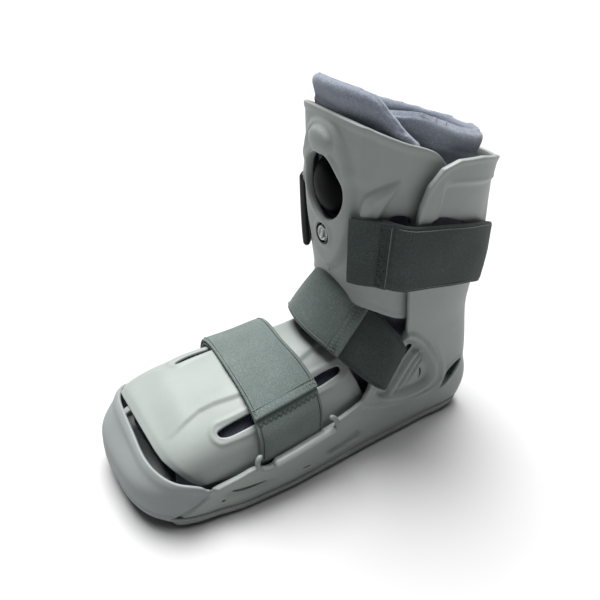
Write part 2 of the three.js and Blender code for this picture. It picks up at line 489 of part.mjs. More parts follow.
// overlapping front flap of the liner, from the right side across the shin
function flapGrid(off) {
  const g = [];
  for (let i = 0; i <= 22; i++) {
    const q = mix(-1.9, 1.3, i / 22), row = [];
    for (let j = 0; j <= 8; j++) {
      const cut = smooth(0.55, 1.35, q), z = mix(154, mix(282, 262, cut), j / 8);
      const f = legFront(z) - off, w = legHalf(z) + off, b = legBack(z) + off, c = (f + b) / 2, r = (b - f) / 2;
      row.push([w * spow(Math.sin(q), 2 / 2.5), c - r * spow(Math.cos(q), 2 / 2.5), z - 0.33 * (c - r * Math.cos(q) - 20) * (j / 8)]);
    }
    g.push(row);
  }
  return g;
}
const bulbSpace = solid(alongY(circle(BULB_R + 1.2, BULB_Z), faceY(BULB_Z) - 5, faceY(BULB_Z) + 5.5))
  .add(solid(alongY(circle(DIAL_R + 2.6, DIAL_Z, 24), faceY(DIAL_Z) - 5, faceY(DIAL_Z) + 4.6)));
addSolid('liner_flap', solid(plate(flapGrid(4.0), flapGrid(0.5))).intersect(shinInside).subtract(bulbSpace), FABRIC);

// ---------------------------------------------------------------- straps
// forefoot strap: over the forefoot panel from loop to loop
const FOOT_Y = -35;
// edge of the forefoot strap at a place across the foot (-1 right loop, 1 left loop)
const STRAP_PATH = [
  { t: 0, x: 0, z: 1.0 }, { t: 0.25, x: 0.36, z: 0.97 }, { t: 0.5, x: 0.68, z: 0.87 },
  { t: 0.68, x: 0.85, z: 0.74 }, { t: 0.84, x: 0.94, z: 0.54 }, { t: 1.0, x: 0.962, z: 0.33 },
];
const pathX = column(STRAP_PATH, 't', 'x'), pathZ = column(STRAP_PATH, 't', 'z');
function footEdge(t, side, lift) {
  const a = Math.abs(t), y = FOOT_Y - 4 * (1 - a) + side * mix(23.5, 26, a);
  const x = Math.sign(t) * pathX(a) * (soleW(y) + lift), base = side > 0 ? 36 : 36, top = crown(y) + 1.2 + lift;
  return [x, y, base + (top - base) * pathZ(a) + toeTilt(x, y) * 0.6];
}
function ruled(edge, t0, t1, n, lift, thick) {
  const rings = [];
  for (let i = 0; i <= n; i++) {
    const t = mix(t0, t1, i / n);
    rings.push([edge(t, -1, lift), edge(t, 1, lift), edge(t, 1, lift + thick), edge(t, -1, lift + thick)]);
  }
  return loft(rings);
}
addSolid('forefoot_strap', solid(ruled(footEdge, -0.99, 0.99, 30, 0.2, STRAP_T)), WEBBING);
addSolid('forefoot_strap_end', solid(ruled(footEdge, -0.84, 0.6, 22, 0.2 + STRAP_T + GAP, STRAP_T)), WEBBING_LIGHT);
// loops on the low walls, following the wall
const FORE_LOOP = [[-67, 40], [-67, 52], [-63.5, 55.5], [-7, 63], [-3, 60.5], [-3, 51]];
const FORE_HOLE = [[-61.5, 46.5], [-61.5, 50.5], [-9, 57.6], [-9, 54]];
const straight = (d) => solid(loft([30, 75].map((z) => footRing(40, d).map(([x, y]) => [x, y, z]))));
const wallSkin = straight(-GAP - 3.4).subtract(straight(-GAP - 0.05));
const foreLoop = wallSkin.intersect(solid(alongX(shapeOf(FORE_LOOP), -90, 90))).subtract(solid(alongX(shapeOf(FORE_HOLE), -90, 90)));
const halfSpace = (sx) => solid(alongX(shapeOf([[-200, -10], [200, -10], [200, 300], [-200, 300]]), sx > 0 ? 2 : -90, sx > 0 ? 90 : -2));
addSolid('forefoot_loop_left', foreLoop.intersect(halfSpace(1)), LOOP);
addSolid('forefoot_loop_right', foreLoop.intersect(halfSpace(-1)), LOOP);

// calf strap: from the front of the shin panel round the back to the right-hand loop
const CALF = [
  { a: -62, z: 178 }, { a: -42, z: 179.5 }, { a: -22, z: 176 }, { a: 0, z: 173 }, { a: 18, z: 169.5 },
  { a: 36, z: 165 }, { a: 50, z: 158.5 }, { a: 64, z: 150 }, { a: 90, z: 142 },
];
const calfMid = column(CALF, 'a', 'z');
// distance from the leg's axis to the outside of the hard parts, by direction (degrees, 90 = back)
function legOut(a, z, lift) {
  const r = a * Math.PI / 180, c = Math.abs(Math.cos(r)), s = Math.sin(r);
  const fold = a > 90 ? 180 - a : a;
  const egg = (half, depth, n) => Math.pow(Math.pow(c / (half + lift), n) + Math.pow(s > 0 ? s / (depth + lift) : -s / (depth + lift), n), -1 / n);
  if (s > 0) return egg(rearLeg(z), rearBack(z) - LEG_START, LEG_N);
  return mix(egg(rearLeg(z), 86, 3), egg(shinHalf(z), LEG_START - shinFront(z), SHIN_N), smooth(-25, -46, fold));
}
function calfEdge(a, side, lift) {
  const z = calfMid(a > 90 ? 180 - a : a) + side * (STRAP_W - 1) / 2, r = legOut(a, z, lift);
  return [r * Math.cos(a * Math.PI / 180), LEG_START + r * Math.sin(a * Math.PI / 180), z];
}
const shellOutside = solid(shellLoft([-4, ...LEVELS.slice(1, -1), 250], -GAP)).intersect(solid(alongX(shapeOf([[46, 90], [170, 90], [170, 246], [46, 246]]), -90, 90)));
addSolid('calf_strap', solid(ruled(calfEdge, -62, 214.2, 54, 1.5, STRAP_T)).subtract(shellOutside).subtract(shinOutside), WEBBING);
addSolid('calf_strap_end', solid(ruled(calfEdge, -60, -31, 12, 1.5 + STRAP_T + GAP + 0.25, STRAP_T)), WEBBING_LIGHT);
// loop on the right side of the shin panel that the calf strap passes
function loopEdge(a, side, lift) {
  const z = 178 + side * 28, r = legOut(a, z, lift);
  return [r * Math.cos(a * Math.PI / 180), LEG_START + r * Math.sin(a * Math.PI / 180), z];
}
const loopSlot = alongX(slotShape([36.5, 157], [39, 198], 2.0), -70, -30);
addSolid('calf_loop_right', solid(ruled(loopEdge, 215, 233, 10, 0.9, 3.2)).subtract(solid(loopSlot)).subtract(shinOutside), LOOP);

// ankle strap: over the instep between the ankle bars; lower and upper edge by place
const ANKLE = [
  { x: 0, ly: -0.5, lz: 104, ux: 0, uy: 30.6, uz: 143.5 },
  { x: 19, ly: 2.5, lz: 101, ux: 14, uy: 31.2, uz: 141 },
  { x: 36, ly: 13.5, lz: 91, ux: 27, uy: 36.5, uz: 133 },
  { x: 47.0, ly: 26, lz: 78, ux: 40.6, uy: 44.0, uz: 123 },
  { x: 52.4, ly: 37, lz: 66, ux: 50.4, uy: 51.5, uz: 114 },
  { x: 53.8, ly: 45, lz: 57, ux: 53.8, uy: 57, uz: 106 },
];
const ankleRows = [...ANKLE.slice(1).reverse().map((r, i) => ({ ...r, x: -r.x, ux: -r.ux, lz: r.lz + (i < 3 ? 0 : 3), uz: r.uz })), ANKLE[0], ...ANKLE.slice(1)];
const ankleLow = new THREE.CatmullRomCurve3(ankleRows.map((r) => new THREE.Vector3(r.x, r.ly, r.lz)), false, 'centripetal');
const ankleUp = new THREE.CatmullRomCurve3(ankleRows.map((r) => new THREE.Vector3(r.ux, r.uy, r.uz)), false, 'centripetal');
function ankleEdge(t, side, lift) {
  const e = 1e-3, L = ankleLow.getPoint(t), U = ankleUp.getPoint(t);
  const T = ankleLow.getPoint(Math.min(1, t + e)).sub(ankleLow.getPoint(Math.max(0, t - e)));
  T.add(ankleUp.getPoint(Math.min(1, t + e)).sub(ankleUp.getPoint(Math.max(0, t - e))));
  const N = new THREE.Vector3().crossVectors(T, U.clone().sub(L)).normalize();
  if (N.dot(new THREE.Vector3(L.x, L.y - 60, 30)) < 0) N.negate();
  return (side < 0 ? L : U).addScaledVector(N, lift).toArray();
}
const ankleMask = shinSpace(-2, 100, 280).subtract(shinInside).intersect(solid(alongX(shapeOf([[0, 118], [90, 118], [90, 200], [0, 200]]), -90, 90)));
addSolid('ankle_strap', solid(ruled(ankleEdge, 0, 1, 28, 0, STRAP_T)).subtract(ankleMask), WEBBING);
addSolid('ankle_strap_end', solid(ruled(ankleEdge, 0.1, 0.66, 18, STRAP_T + GAP + 0.3, STRAP_T - 0.6)).subtract(ankleMask).subtract(solid(ruled(ankleEdge, 0, 1, 28, -0.3, STRAP_T + 0.6))), WEBBING_LIGHT);

boot.position.y = SHIFT_Y;
boot.updateMatrixWorld(true);
export default boot;
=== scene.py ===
"""Visual model of a short pneumatic walking boot: moulded shell, soft liner, straps, bulb and dial.

Lengths in the tables are millimetres, in the frame of the part; meshes are written in metres.
"""

import math

import bmesh
import bpy
import numpy as np
from mathutils import Matrix, Vector, kdtree
from mathutils.geometry import delaunay_2d_cdt


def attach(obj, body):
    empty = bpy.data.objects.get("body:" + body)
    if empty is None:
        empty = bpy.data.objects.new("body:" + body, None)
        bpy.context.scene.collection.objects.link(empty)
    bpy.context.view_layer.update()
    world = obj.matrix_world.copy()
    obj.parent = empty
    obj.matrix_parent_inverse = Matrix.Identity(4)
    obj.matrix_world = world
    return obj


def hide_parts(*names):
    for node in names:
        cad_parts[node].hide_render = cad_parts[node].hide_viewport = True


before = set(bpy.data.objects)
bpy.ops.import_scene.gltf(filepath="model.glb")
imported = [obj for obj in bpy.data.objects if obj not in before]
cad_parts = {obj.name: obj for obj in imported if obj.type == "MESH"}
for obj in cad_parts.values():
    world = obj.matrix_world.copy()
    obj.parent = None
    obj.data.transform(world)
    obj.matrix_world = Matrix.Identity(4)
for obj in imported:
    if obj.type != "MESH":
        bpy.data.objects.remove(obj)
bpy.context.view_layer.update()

# ------------------------------------------------------------------ driving sizes, millimetres
WALL = 3.2
SHIFT_Y = 0.35
SOLE_T = 7.0
FLOOR_Z = 17.0
TOE_TIP, TOE_START, TOE_N = -151.0, -98.0, 3.0
HEEL_START, LEG_START, HEEL_N, LEG_N = 104.0, 74.0, 3.0, 2.3
TOE_SKEW, TOE_TILT = 0.11, 0.12
PANEL_T = 2.8
STRAP_W, STRAP_T = 51.0, 2.2
BULB_R, BULB_Z, DIAL_R, DIAL_Z = 22.6, 213.0, 6.4, 178.0
SHIN_MID, SHIN_N = 66.0, 3.1


def clamp(v, a, b):
    return np.minimum(b, np.maximum(a, v))


def mix(a, b, t):
    return a + (b - a) * t


def smooth(a, b, v):
    t = clamp((np.asarray(v, float) - a) / (b - a), 0.0, 1.0)
    return t * t * (3 - 2 * t)


def spow(v, p):
    return np.sign(v) * np.abs(v) ** p


def bump(v, c, w):
    """a smooth hump of half width w round c"""
    return smooth(1.0, 0.0, np.abs(np.asarray(v, float) - c) / w)


class Column:
    """a monotone smooth curve through one column of a table"""

    def __init__(self, rows):
        r = np.array(rows, float)
        self.x, self.v = r[:, 0], r[:, 1]
        d = np.diff(self.v) / np.diff(self.x)
        m = np.zeros(len(self.x))
        m[0], m[-1] = d[0], d[-1]
        for i in range(1, len(d)):
            m[i] = 0 if d[i - 1] * d[i] <= 0 else 2 * d[i - 1] * d[i] / (d[i - 1] + d[i])
        self.m = m

    def __call__(self, t):
        t = np.asarray(t, float)
        i = clamp(np.searchsorted(self.x, t, side="right") - 1, 0, len(self.x) - 2).astype(int)
        h = self.x[i + 1] - self.x[i]
        s = clamp((t - self.x[i]) / h, 0, 1)
        s2, s3 = s * s, s * s * s
        return ((2 * s3 - 3 * s2 + 1) * self.v[i] + (s3 - 2 * s2 + s) * h * self.m[i]
                + (-2 * s3 + 3 * s2) * self.v[i + 1] + (s3 - s2) * h * self.m[i + 1])


sole_w = Column([(-110, 56.6), (-98, 57.4), (-75, 59.2), (-40, 58.4), (0, 54.6), (40, 50.2), (80, 46.6), (104, 44.6), (125, 44.0)])
rear_back = Column([(0, 146.5), (15, 150.0), (35, 151.2), (60, 150.0), (90, 148.8), (120, 148.4), (150, 149.4), (178, 147.4), (200, 143.6), (222, 141.2), (250, 143.5)])
rear_leg = Column([(0, 46), (15, 46), (35, 46), (60, 47), (90, 49.5), (120, 51.5), (150, 53.5), (178, 55.6), (200, 57.3), (222, 59.0), (250, 61.0)])
shin_front = Column([(105, 27.5), (130, 24.0), (160, 19.0), (190, 16.2), (220, 14.2), (275, 10.5)])
shin_half = Column([(105, 46.0), (130, 47.6), (160, 49.6), (190, 51.0), (220, 52.0), (275, 53.2)])
crown = Column([(-136, 56.5), (-126, 61.5), (-112, 66.8), (-92, 72.6), (-68, 79), (-36, 86), (-10, 91.5), (8, 95.5), (30, 102), (60, 108)])
rocker = Column([(-156, 11), (-140, 7.6), (-120, 4.2), (-95, 1.2), (-70, 0), (80, 0), (110, 0.9), (135, 3.0), (156, 6.0)])


def arch_n(y):
    return 2.5 + 1.4 * smooth(0, -110, y)


def toe_tip(z):
    return TOE_TIP + 4.0 * smooth(18, 0, z) + 13.5 * smooth(32, 55, z)


def toe_skew(x, y):
    return TOE_SKEW * x * smooth(-55, -125, y)


def toe_tilt(x, y):
    return -TOE_TILT * x * smooth(-20, -115, y)


def side_half(y, z):
    y = np.asarray(y, float)
    leg, s = rear_leg(z), smooth(48, 112, z)
    front = np.where(y < 75, np.maximum(0.0, 1 - (np.maximum(75 - y, 0) / 86) ** 3.0) ** (1 / 3.0), 1.0)
    return mix(sole_w(y) + 1.6 * smooth(8, 40, z) - 0.8, leg * front, s)


heel_n = Column([(0, 3.5), (12, 4.8), (25, 5.3), (36, 4.7), (54, 3.3), (250, 3.0)])


def half_outline(z, d=0.0):
    """half of the shell's outline at height z, from the middle of the heel to the toe tip"""
    up = float(smooth(50, 112, z))
    start, frm, nb = mix(TOE_START, 20, up), mix(HEEL_START, LEG_START, up), mix(float(heel_n(z)), LEG_N, up)
    back, tip = float(rear_back(z)) - d, float(mix(toe_tip(z), -12, up)) + d
    wh, wt = float(side_half(frm, z)) - d, float(side_half(start, z)) - d
    q = np.linspace(0, math.pi / 2, 240)
    a = np.stack([wh * spow(np.sin(q), 2 / nb), frm + (back - frm) * spow(np.cos(q), 2 / nb)], 1)
    y = np.linspace(frm, start, 160)[1:-1]
    b = np.stack([side_half(y, z) - d, y], 1)
    q = np.linspace(0, math.pi / 2, 240)
    c = np.stack([wt * spow(np.cos(q), 2 / TOE_N), start + (tip - start) * spow(np.sin(q), 2 / TOE_N)], 1)
    return np.concatenate([a, b, c])


def resample(p, n):
    d = np.concatenate([[0], np.cumsum(np.linalg.norm(np.diff(p, axis=0), axis=1))])
    s = np.linspace(0, d[-1], n)
    return np.stack([np.interp(s, d, p[:, k]) for k in range(p.shape[1])], 1)


class Surface:
    """a surface sampled on a grid of (u, v), both in millimetres"""

    def __init__(self, us, vs, pts, outward):
        self.us, self.vs, self.P = us, vs, pts          # pts[v, u, 3]
        du = np.gradient(pts, us, axis=1)
        dv = np.gradient(pts, vs, axis=0)
        n = np.cross(du, dv)
        n /= np.maximum(np.linalg.norm(n, axis=2, keepdims=True), 1e-9)
        flip = np.sign(np.sum(n * outward(pts), axis=2, keepdims=True))
        self.sign = 1.0 if flip.mean() > 0 else -1.0
        self.N = n * self.sign

    def _look(self, T, u, v):
        fu = clamp((np.asarray(u, float) - self.us[0]) / (self.us[1] - self.us[0]), 0, len(self.us) - 1.001)
        fv = clamp((np.asarray(v, float) - self.vs[0]) / (self.vs[1] - self.vs[0]), 0, len(self.vs) - 1.001)
        i, j = fu.astype(int), fv.astype(int)
        a, b = (fu - i)[..., None], (fv - j)[..., None]
        return (T[j, i] * (1 - a) * (1 - b) + T[j, i + 1] * a * (1 - b) + T[j + 1, i] * (1 - a) * b + T[j + 1, i + 1] * a * b)

    def at(self, u, v):
        return self._look(self.P, u, v)

    def normal(self, u, v):
        n = self._look(self.N, u, v)
        return n / np.maximum(np.linalg.norm(n, axis=-1, keepdims=True), 1e-9)


# ------------------------------------------------------------------ shell surface: u round the outline, v height
SHELL_L = 330.0


def make_shell_surface():
    vs = np.linspace(0, 248, 125)
    nt = 331
    rows = []
    for z in vs:
        h = resample(half_outline(z), nt)
        left = np.stack([h[:, 0], h[:, 1], np.full(nt, z)], 1)
        right = left * np.array([-1, 1, 1])
        row = np.concatenate([right[:0:-1], left])
        row[:, 1] += toe_skew(row[:, 0], row[:, 1])
        rows.append(row)
    us = np.linspace(-SHELL_L, SHELL_L, 2 * nt - 1)
    return Surface(us, vs, np.array(rows), lambda p: p - np.stack([p[..., 0] * 0, clamp(p[..., 1], -95, 75), p[..., 2]], -1))


shell = make_shell_surface()


def shell_u(y, z, side):
    """u on the shell for a place along the foot and a height, on one side"""
    z = float(z)
    fv = min(max((z - shell.vs[0]) / (shell.vs[1] - shell.vs[0]), 0), len(shell.vs) - 1.001)
    j = int(fv)
    mid = len(shell.us) // 2
    row = shell.P[j] * (1 - fv + j) + shell.P[j + 1] * (fv - j)
    yy = row[mid:, 1] if side > 0 else row[mid::-1, 1]
    t = shell.us[mid:]
    k = np.argsort(yy)
    return side * float(np.interp(y, yy[k], t[k]))


# ------------------------------------------------------------------ shin panel surface
def shin_half_line(z, d=0.0, reach=12.0):
    q = np.linspace(0, math.pi / 2, 400)
    half, depth = float(shin_half(z)) - d, SHIN_MID - float(shin_front(z)) - d
    p = np.stack([half * spow(np.sin(q), 2 / SHIN_N), SHIN_MID - depth * spow(np.cos(q), 2 / SHIN_N)], 1)
    return np.concatenate([p, [[half - 0.2, SHIN_MID + reach]]])


SHIN_L = 100.0


def make_shin_surface():
    vs = np.linspace(104, 276, 115)
    nt = 101
    rows = []
    for z in vs:
        h = resample(shin_half_line(z), nt)
        left = np.stack([h[:, 0], h[:, 1], np.full(nt, z)], 1)
        rows.append(np.concatenate([(left * np.array([-1, 1, 1]))[:0:-1], left]))
    return Surface(np.linspace(-SHIN_L, SHIN_L, 2 * nt - 1), vs, np.array(rows), lambda p: p - np.array([0, 70, 0]) * 1.0 - np.stack([p[..., 0] * 0, p[..., 1] * 0, p[..., 2]], -1))


shin = make_shin_surface()


shin_rim = Column([(-10, 270), (8, 266.0), (14, 263.0), (27, 256.8), (39, 252), (54.5, 247), (62, 243.3), (69, 236.5), (82, 222)])


def shin_top(y):
    return shin_rim(y)


def shin_bottom(y):
    return 131 - 11 * smooth(22, 60, y) + 7 * smooth(60, 76, y)


# ------------------------------------------------------------------ forefoot arch surface
def arch_half(y, d=0.0):
    y = np.asarray(y, float)
    f = np.where(y < -96, np.maximum(0.02, 1 - (np.maximum(-96 - y, 0) / 47) ** 3) ** (1 / 3), 1.0)
    return np.maximum(6, sole_w(y) - 5.2 - d) * f


PANEL_L = 80.0


def make_panel_surface():
    vs = np.linspace(-136, 48, 124)
    nt = 91
    rows = []
    q = np.linspace(0, math.pi / 2, 300)
    for y in vs:
        n, base = float(arch_n(y)), 30.0
        h = float(crown(y)) - base
        x, up = float(arch_half(y)) * spow(np.sin(q), 2 / n), spow(np.cos(q), 2 / n)
        row = []
        for sx in (-1, 1):
            X = sx * x
            p = np.stack([X, y + toe_skew(X, y), base + h * up + toe_tilt(X, y) * np.minimum(1, 2 * up)], 1)
            row.append(resample(p, nt))
        rows.append(np.concatenate([row[0][:0:-1], row[1]]))
    return Surface(np.linspace(-PANEL_L, PANEL_L, 2 * nt - 1), vs, np.array(rows), lambda p: p - np.stack([p[..., 0] * 0, p[..., 1], p[..., 2] * 0], -1) + np.array([0, 0, 0.1]))


panel = make_panel_surface()

# ------------------------------------------------------------------ mesh making
MM = 0.001


def place(p):
    q = np.array(p, float)
    q[..., 1] += SHIFT_Y
    return q * MM


def make(name, verts, faces, mats, ids=None, smooth_faces=True, body="boot"):
    me = bpy.data.meshes.new(name)
    me.from_pydata(place(verts).tolist(), [], [tuple(map(int, f)) for f in faces])
    for m in mats:
        me.materials.append(m)
    if ids is not None:
        me.polygons.foreach_set("material_index", np.asarray(ids, np.int32))
    me.polygons.foreach_set("use_smooth", np.full(len(me.polygons), smooth_faces))
    me.update()
    o = bpy.data.objects.new(name, me)
    bpy.context.scene.collection.objects.link(o)
    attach(o, body)
    return o


def tidy(o, dist=1e-6, normals=True):
    bm = bmesh.new()
    bm.from_mesh(o.data)
    bmesh.ops.remove_doubles(bm, verts=bm.verts, dist=dist)
    loose = [f for f in bm.faces if f.calc_area() < 1e-14]
    if loose:
        bmesh.ops.delete(bm, geom=loose, context="FACES")
    if normals:
        bmesh.ops.recalc_face_normals(bm, faces=bm.faces)
    bm.to_mesh(o.data)
    bm.free()
    o.data.polygons.foreach_set("use_smooth", np.full(len(o.data.polygons), True))
    o.data.update()
    return o


def chaikin(p, times=2, closed=True):
    p = np.asarray(p, float)
    for _ in range(times):
        a, b = (p, np.roll(p, -1, axis=0)) if closed else (p[:-1], p[1:])
        q = np.empty((2 * len(a), p.shape[1]))
        q[0::2], q[1::2] = 0.75 * a + 0.25 * b, 0.25 * a + 0.75 * b
        p = q if closed else np.concatenate([p[:1], q, p[-1:]])
    return p


def densify(p, step, closed=True):
    p = np.asarray(p, float)
    if closed:
        p = np.concatenate([p, p[:1]])
    d = np.concatenate([[0], np.cumsum(np.linalg.norm(np.diff(p, axis=0), axis=1))])
    n = max(8, int(round(d[-1] / step)))
    s = np.linspace(0, d[-1], n + 1)
    q = np.stack([np.interp(s, d, p[:, k]) for k in range(p.shape[1])], 1)
    return q[:-1] if closed else q


def area2(p):
    q = np.roll(p, -1, axis=0)
    return 0.5 * float(np.sum(p[:, 0] * q[:, 1] - q[:, 0] * p[:, 1]))


def inside(pts, loops):
    x, y = pts[:, 0], pts[:, 1]
    c = np.zeros(len(pts), bool)
    for L in loops:
        a, b = L, np.roll(L, -1, axis=0)
        for (x0, y0), (x1, y1) in zip(a, b):
            if y0 == y1:
                continue
            m = (y0 > y) != (y1 > y)
            c ^= m & (x < (x1 - x0) * (y - y0) / (y1 - y0) + x0)
    return c


def fill(loops, su, sv, ku=1.0):
    """triangles between closed loops of (u, v), on a staggered grid of steps su, sv"""
    rim = np.concatenate(loops) * [ku, 1]
    lo, hi = rim.min(0), rim.max(0)
    rows = np.arange(lo[1] + sv * 0.5, hi[1], sv)
    cols = np.arange(lo[0] + su * ku * 0.5, hi[0], su * ku)
    g = np.array([(c + (0.5 * su * ku if i % 2 else 0), r) for i, r in enumerate(rows) for c in cols])
    scaled = [L * [ku, 1] for L in loops]
    g = g[inside(g, scaled)]
    tree = kdtree.KDTree(len(rim))
    for i, p in enumerate(rim):
        tree.insert((p[0], p[1], 0), i)
    tree.balance()
    near = 0.55 * min(su * ku, sv)
    g = np.array([p for p in g if tree.find((p[0], p[1], 0))[2] > near]).reshape(-1, 2)
    pts = np.concatenate([rim, g])
    edges, base = [], 0
    for L in loops:
        n = len(L)
        edges += [(base + i, base + (i + 1) % n) for i in range(n)]
        base += n
    vs, _, fs, ov, _, _ = delaunay_2d_cdt([Vector(p) for p in pts], edges, [], 0, 1e-7)
    out = np.array([(v.x, v.y) for v in vs])
    where = np.zeros(len(pts), int)
    for k, src in enumerate(ov):
        for i in src:
            where[i] = k
    fs = np.array([f for f in fs if len(f) == 3])
    mid = out[fs].mean(1)
    fs = fs[inside(mid, scaled)]
    a = out[fs]
    sgn = (a[:, 1, 0] - a[:, 0, 0]) * (a[:, 2, 1] - a[:, 0, 1]) - (a[:, 2, 0] - a[:, 0, 0]) * (a[:, 1, 1] - a[:, 0, 1])
    fs[sgn < 0] = fs[sgn < 0][:, ::-1]
    return out / [ku, 1], fs, where


def skin(name, S, loops, mats, T=3.2, su=1.6, sv=1.3, ku=1.0, disp=None, rim=0.9, lift=0.0, coarse=5.0, K=6, paint=None, body="boot", tin=None):
    """a moulded sheet on a surface: outer face, rounded rims and inner face, closed"""
    uv, tri, where = fill(loops, su, sv, ku)
    u, v = uv[:, 0], uv[:, 1]
    P, N = S.at(u, v), S.normal(u, v)
    d = disp(u, v, P) if disp else np.zeros(len(u))
    O = P + N * (lift + d)[:, None]
    V, F = [O], [tri if S.sign > 0 else tri[:, ::-1]]
    ids = [paint(uv[tri].mean(1), P[tri].mean(1)) if paint else np.zeros(len(tri), int)]
    base, count, last = 0, len(O), []
    for k, L in enumerate(loops):
        b = where[base:base + len(L)]
        base += len(L)
        o, n, p = O[b], N[b], P[b]
        t = np.roll(o, -1, axis=0) - np.roll(o, 1, axis=0)
        out = np.cross(t, n * S.sign)
        out /= np.maximum(np.linalg.norm(out, axis=1, keepdims=True), 1e-9)
        out *= (1 if area2(L) > 0 else -1) * (1 if k == 0 else -1)
        th = T if tin is None else tin(L[:, 0], L[:, 1])[:, None]
        inn = p + n * lift - n * th
        prev = b
        for j in range(1, K + 1):
            q = math.pi * j / K
            row = (o + inn) / 2 + (o - inn) / 2 * math.cos(q) + out * rim * math.sin(q)
            V.append(row)
            cur = np.arange(count, count + len(row))
            count += len(row)
            a, a2, c, c2 = prev, np.roll(prev, -1), cur, np.roll(cur, -1)
            quad = np.stack([a, c, c2, a2], 1)
            if (area2(L) > 0) != (k == 0):
                quad = quad[:, ::-1]
            if S.sign < 0:
                quad = quad[:, ::-1]
            F.append(quad)
            ids.append(np.zeros(len(quad), int) if not paint else paint(np.stack([L[:, 0], L[:, 1]], 1), p))
            prev = cur
        last.append(prev)
    uv2, tri2, where2 = fill(loops, coarse / ku if ku < 1 else coarse, coarse, ku)
    P2, N2 = S.at(uv2[:, 0], uv2[:, 1]), S.normal(uv2[:, 0], uv2[:, 1])
    th2 = T if tin is None else tin(uv2[:, 0], uv2[:, 1])[:, None]
    I = P2 + N2 * lift - N2 * th2
    remap = np.arange(count, count + len(I))
    base = 0
    for k, L in enumerate(loops):
        remap[where2[base:base + len(L)]] = last[k]
        base += len(L)
    V.append(I)
    t2 = remap[tri2]
    F.append(t2[:, ::-1] if S.sign > 0 else t2)
    ids.append(np.zeros(len(t2), int) if not paint else paint(uv2[tri2].mean(1), P2[tri2].mean(1)))
    V = np.concatenate(V)
    faces = [tuple(f) for part in F for f in part.tolist()]
    o = make(name, V, faces, mats, np.concatenate(ids), body=body)
    bm = bmesh.new()
    bm.from_mesh(o.data)
    bmesh.ops.delete(bm, geom=[x for x in bm.verts if not x.link_faces], context="VERTS")
    bm.to_mesh(o.data)
    bm.free()
    return o


def capsule(a, b, r, n=10):
    """a slot outline from a to b in (u, v)"""
    a, b = np.array(a, float), np.array(b, float)
    d = (b - a) / np.linalg.norm(b - a)
    e = np.array([-d[1], d[0]])
    out = []
    for c, q0 in ((b, -math.pi / 2), (a, math.pi / 2)):
        for k in range(n + 1):
            q = q0 + math.pi * k / n
            out.append(c + r * (math.cos(q) * d + math.sin(q) * e))
    return np.array(out)


def grid_faces(nt, ns, wrap_t=False, wrap_s=False, base=0):
    f = []
    for i in range(nt if wrap_t else nt - 1):
        for j in range(ns if wrap_s else ns - 1):
            i2, j2 = (i + 1) % nt, (j + 1) % ns
            f.append((base + i * ns + j, base + i * ns + j2, base + i2 * ns + j2, base + i2 * ns + j))
    return f


def edge_steps(length, r, inner):
    """places from 0 to length, close together near both ends"""
    near = np.array([0, 0.06, 0.2, 0.42, 0.7, 1.0]) * r
    mid = np.linspace(r, length - r, max(3, int(round((length - 2 * r) / inner)) + 1))
    return np.concatenate([near[:-1], mid, (length - near[:-1])[::-1]])


def unit(a):
    return a / np.maximum(np.linalg.norm(a, axis=-1, keepdims=True), 1e-9)


def ribbon(name, F, t0, t1, mats, T=2.2, lift=0.0, step=1.6, cross=1.6, r=1.0, bumps=None, paint=None, s0=-1.0, s1=1.0, ends=(True, True), body="boot"):
    """webbing along F(t, s): t along, s across, both edges and both ends rounded"""
    tt = np.linspace(t0, t1, 400)
    mid = F(tt, np.full(400, (s0 + s1) / 2))
    d = np.concatenate([[0], np.cumsum(np.linalg.norm(np.diff(mid, axis=0), axis=1))])
    at = edge_steps(d[-1], r, step)
    t = np.interp(at, d, tt)
    a, b = F(t[len(t) // 2:len(t) // 2 + 1], np.array([s0])), F(t[len(t) // 2:len(t) // 2 + 1], np.array([s1]))
    width = float(np.linalg.norm(b - a))
    sw = edge_steps(width, r, cross)
    s = s0 + (s1 - s0) * sw / width
    TT, SS = np.meshgrid(t, s, indexing="ij")
    base = F(TT.ravel(), SS.ravel()).reshape(len(t), len(s), 3)
    e = 1e-3
    du = F(TT.ravel() + e, SS.ravel()) - F(TT.ravel() - e, SS.ravel())
    dv = F(TT.ravel(), SS.ravel() + e) - F(TT.ravel(), SS.ravel() - e)
    N = unit(np.cross(du, dv)).reshape(base.shape)
    flip = np.sign(np.sum(N * (base - np.array([0, 40.0, 60.0])), axis=2).mean())
    N *= flip
    ds, dt = np.minimum(sw, width - sw), np.minimum(at, d[-1] - at)
    hs = np.sqrt(np.maximum(0, 1 - (1 - np.minimum(ds / r, 1)) ** 2))
    ht = np.sqrt(np.maximum(0, 1 - (1 - np.minimum(dt / r, 1)) ** 2))
    if not ends[0]:
        ht[at < d[-1] / 2] = 1
    if not ends[1]:
        ht[at >= d[-1] / 2] = 1
    H = (ht[:, None] * hs[None, :])[..., None]
    M = base + N * (lift + T / 2)
    x = np.broadcast_to(at[:, None], H.shape[:2])
    y = np.broadcast_to(sw[None, :], H.shape[:2])
    add = bumps(x, y, d[-1], width) if bumps else np.zeros(H.shape[:2])
    top = M + N * (T / 2 * H + (add * H[..., 0])[..., None])
    low = M - N * T / 2 * H
    nt, ns = len(t), len(s)
    faces = grid_faces(nt, ns) + [f[::-1] for f in grid_faces(nt, ns, base=nt * ns)]
    ids = None
    if paint:
        mid_x = (x[:-1, :-1] + x[1:, 1:]) / 2
        mid_y = (y[:-1, :-1] + y[1:, 1:]) / 2
        one = paint(mid_x, mid_y, d[-1], width).ravel()
        ids = np.concatenate([one, one])
    o = make(name, np.concatenate([top.reshape(-1, 3), low.reshape(-1, 3)]), faces, mats, ids, body=body)
    return tidy(o), (d[-1], width)


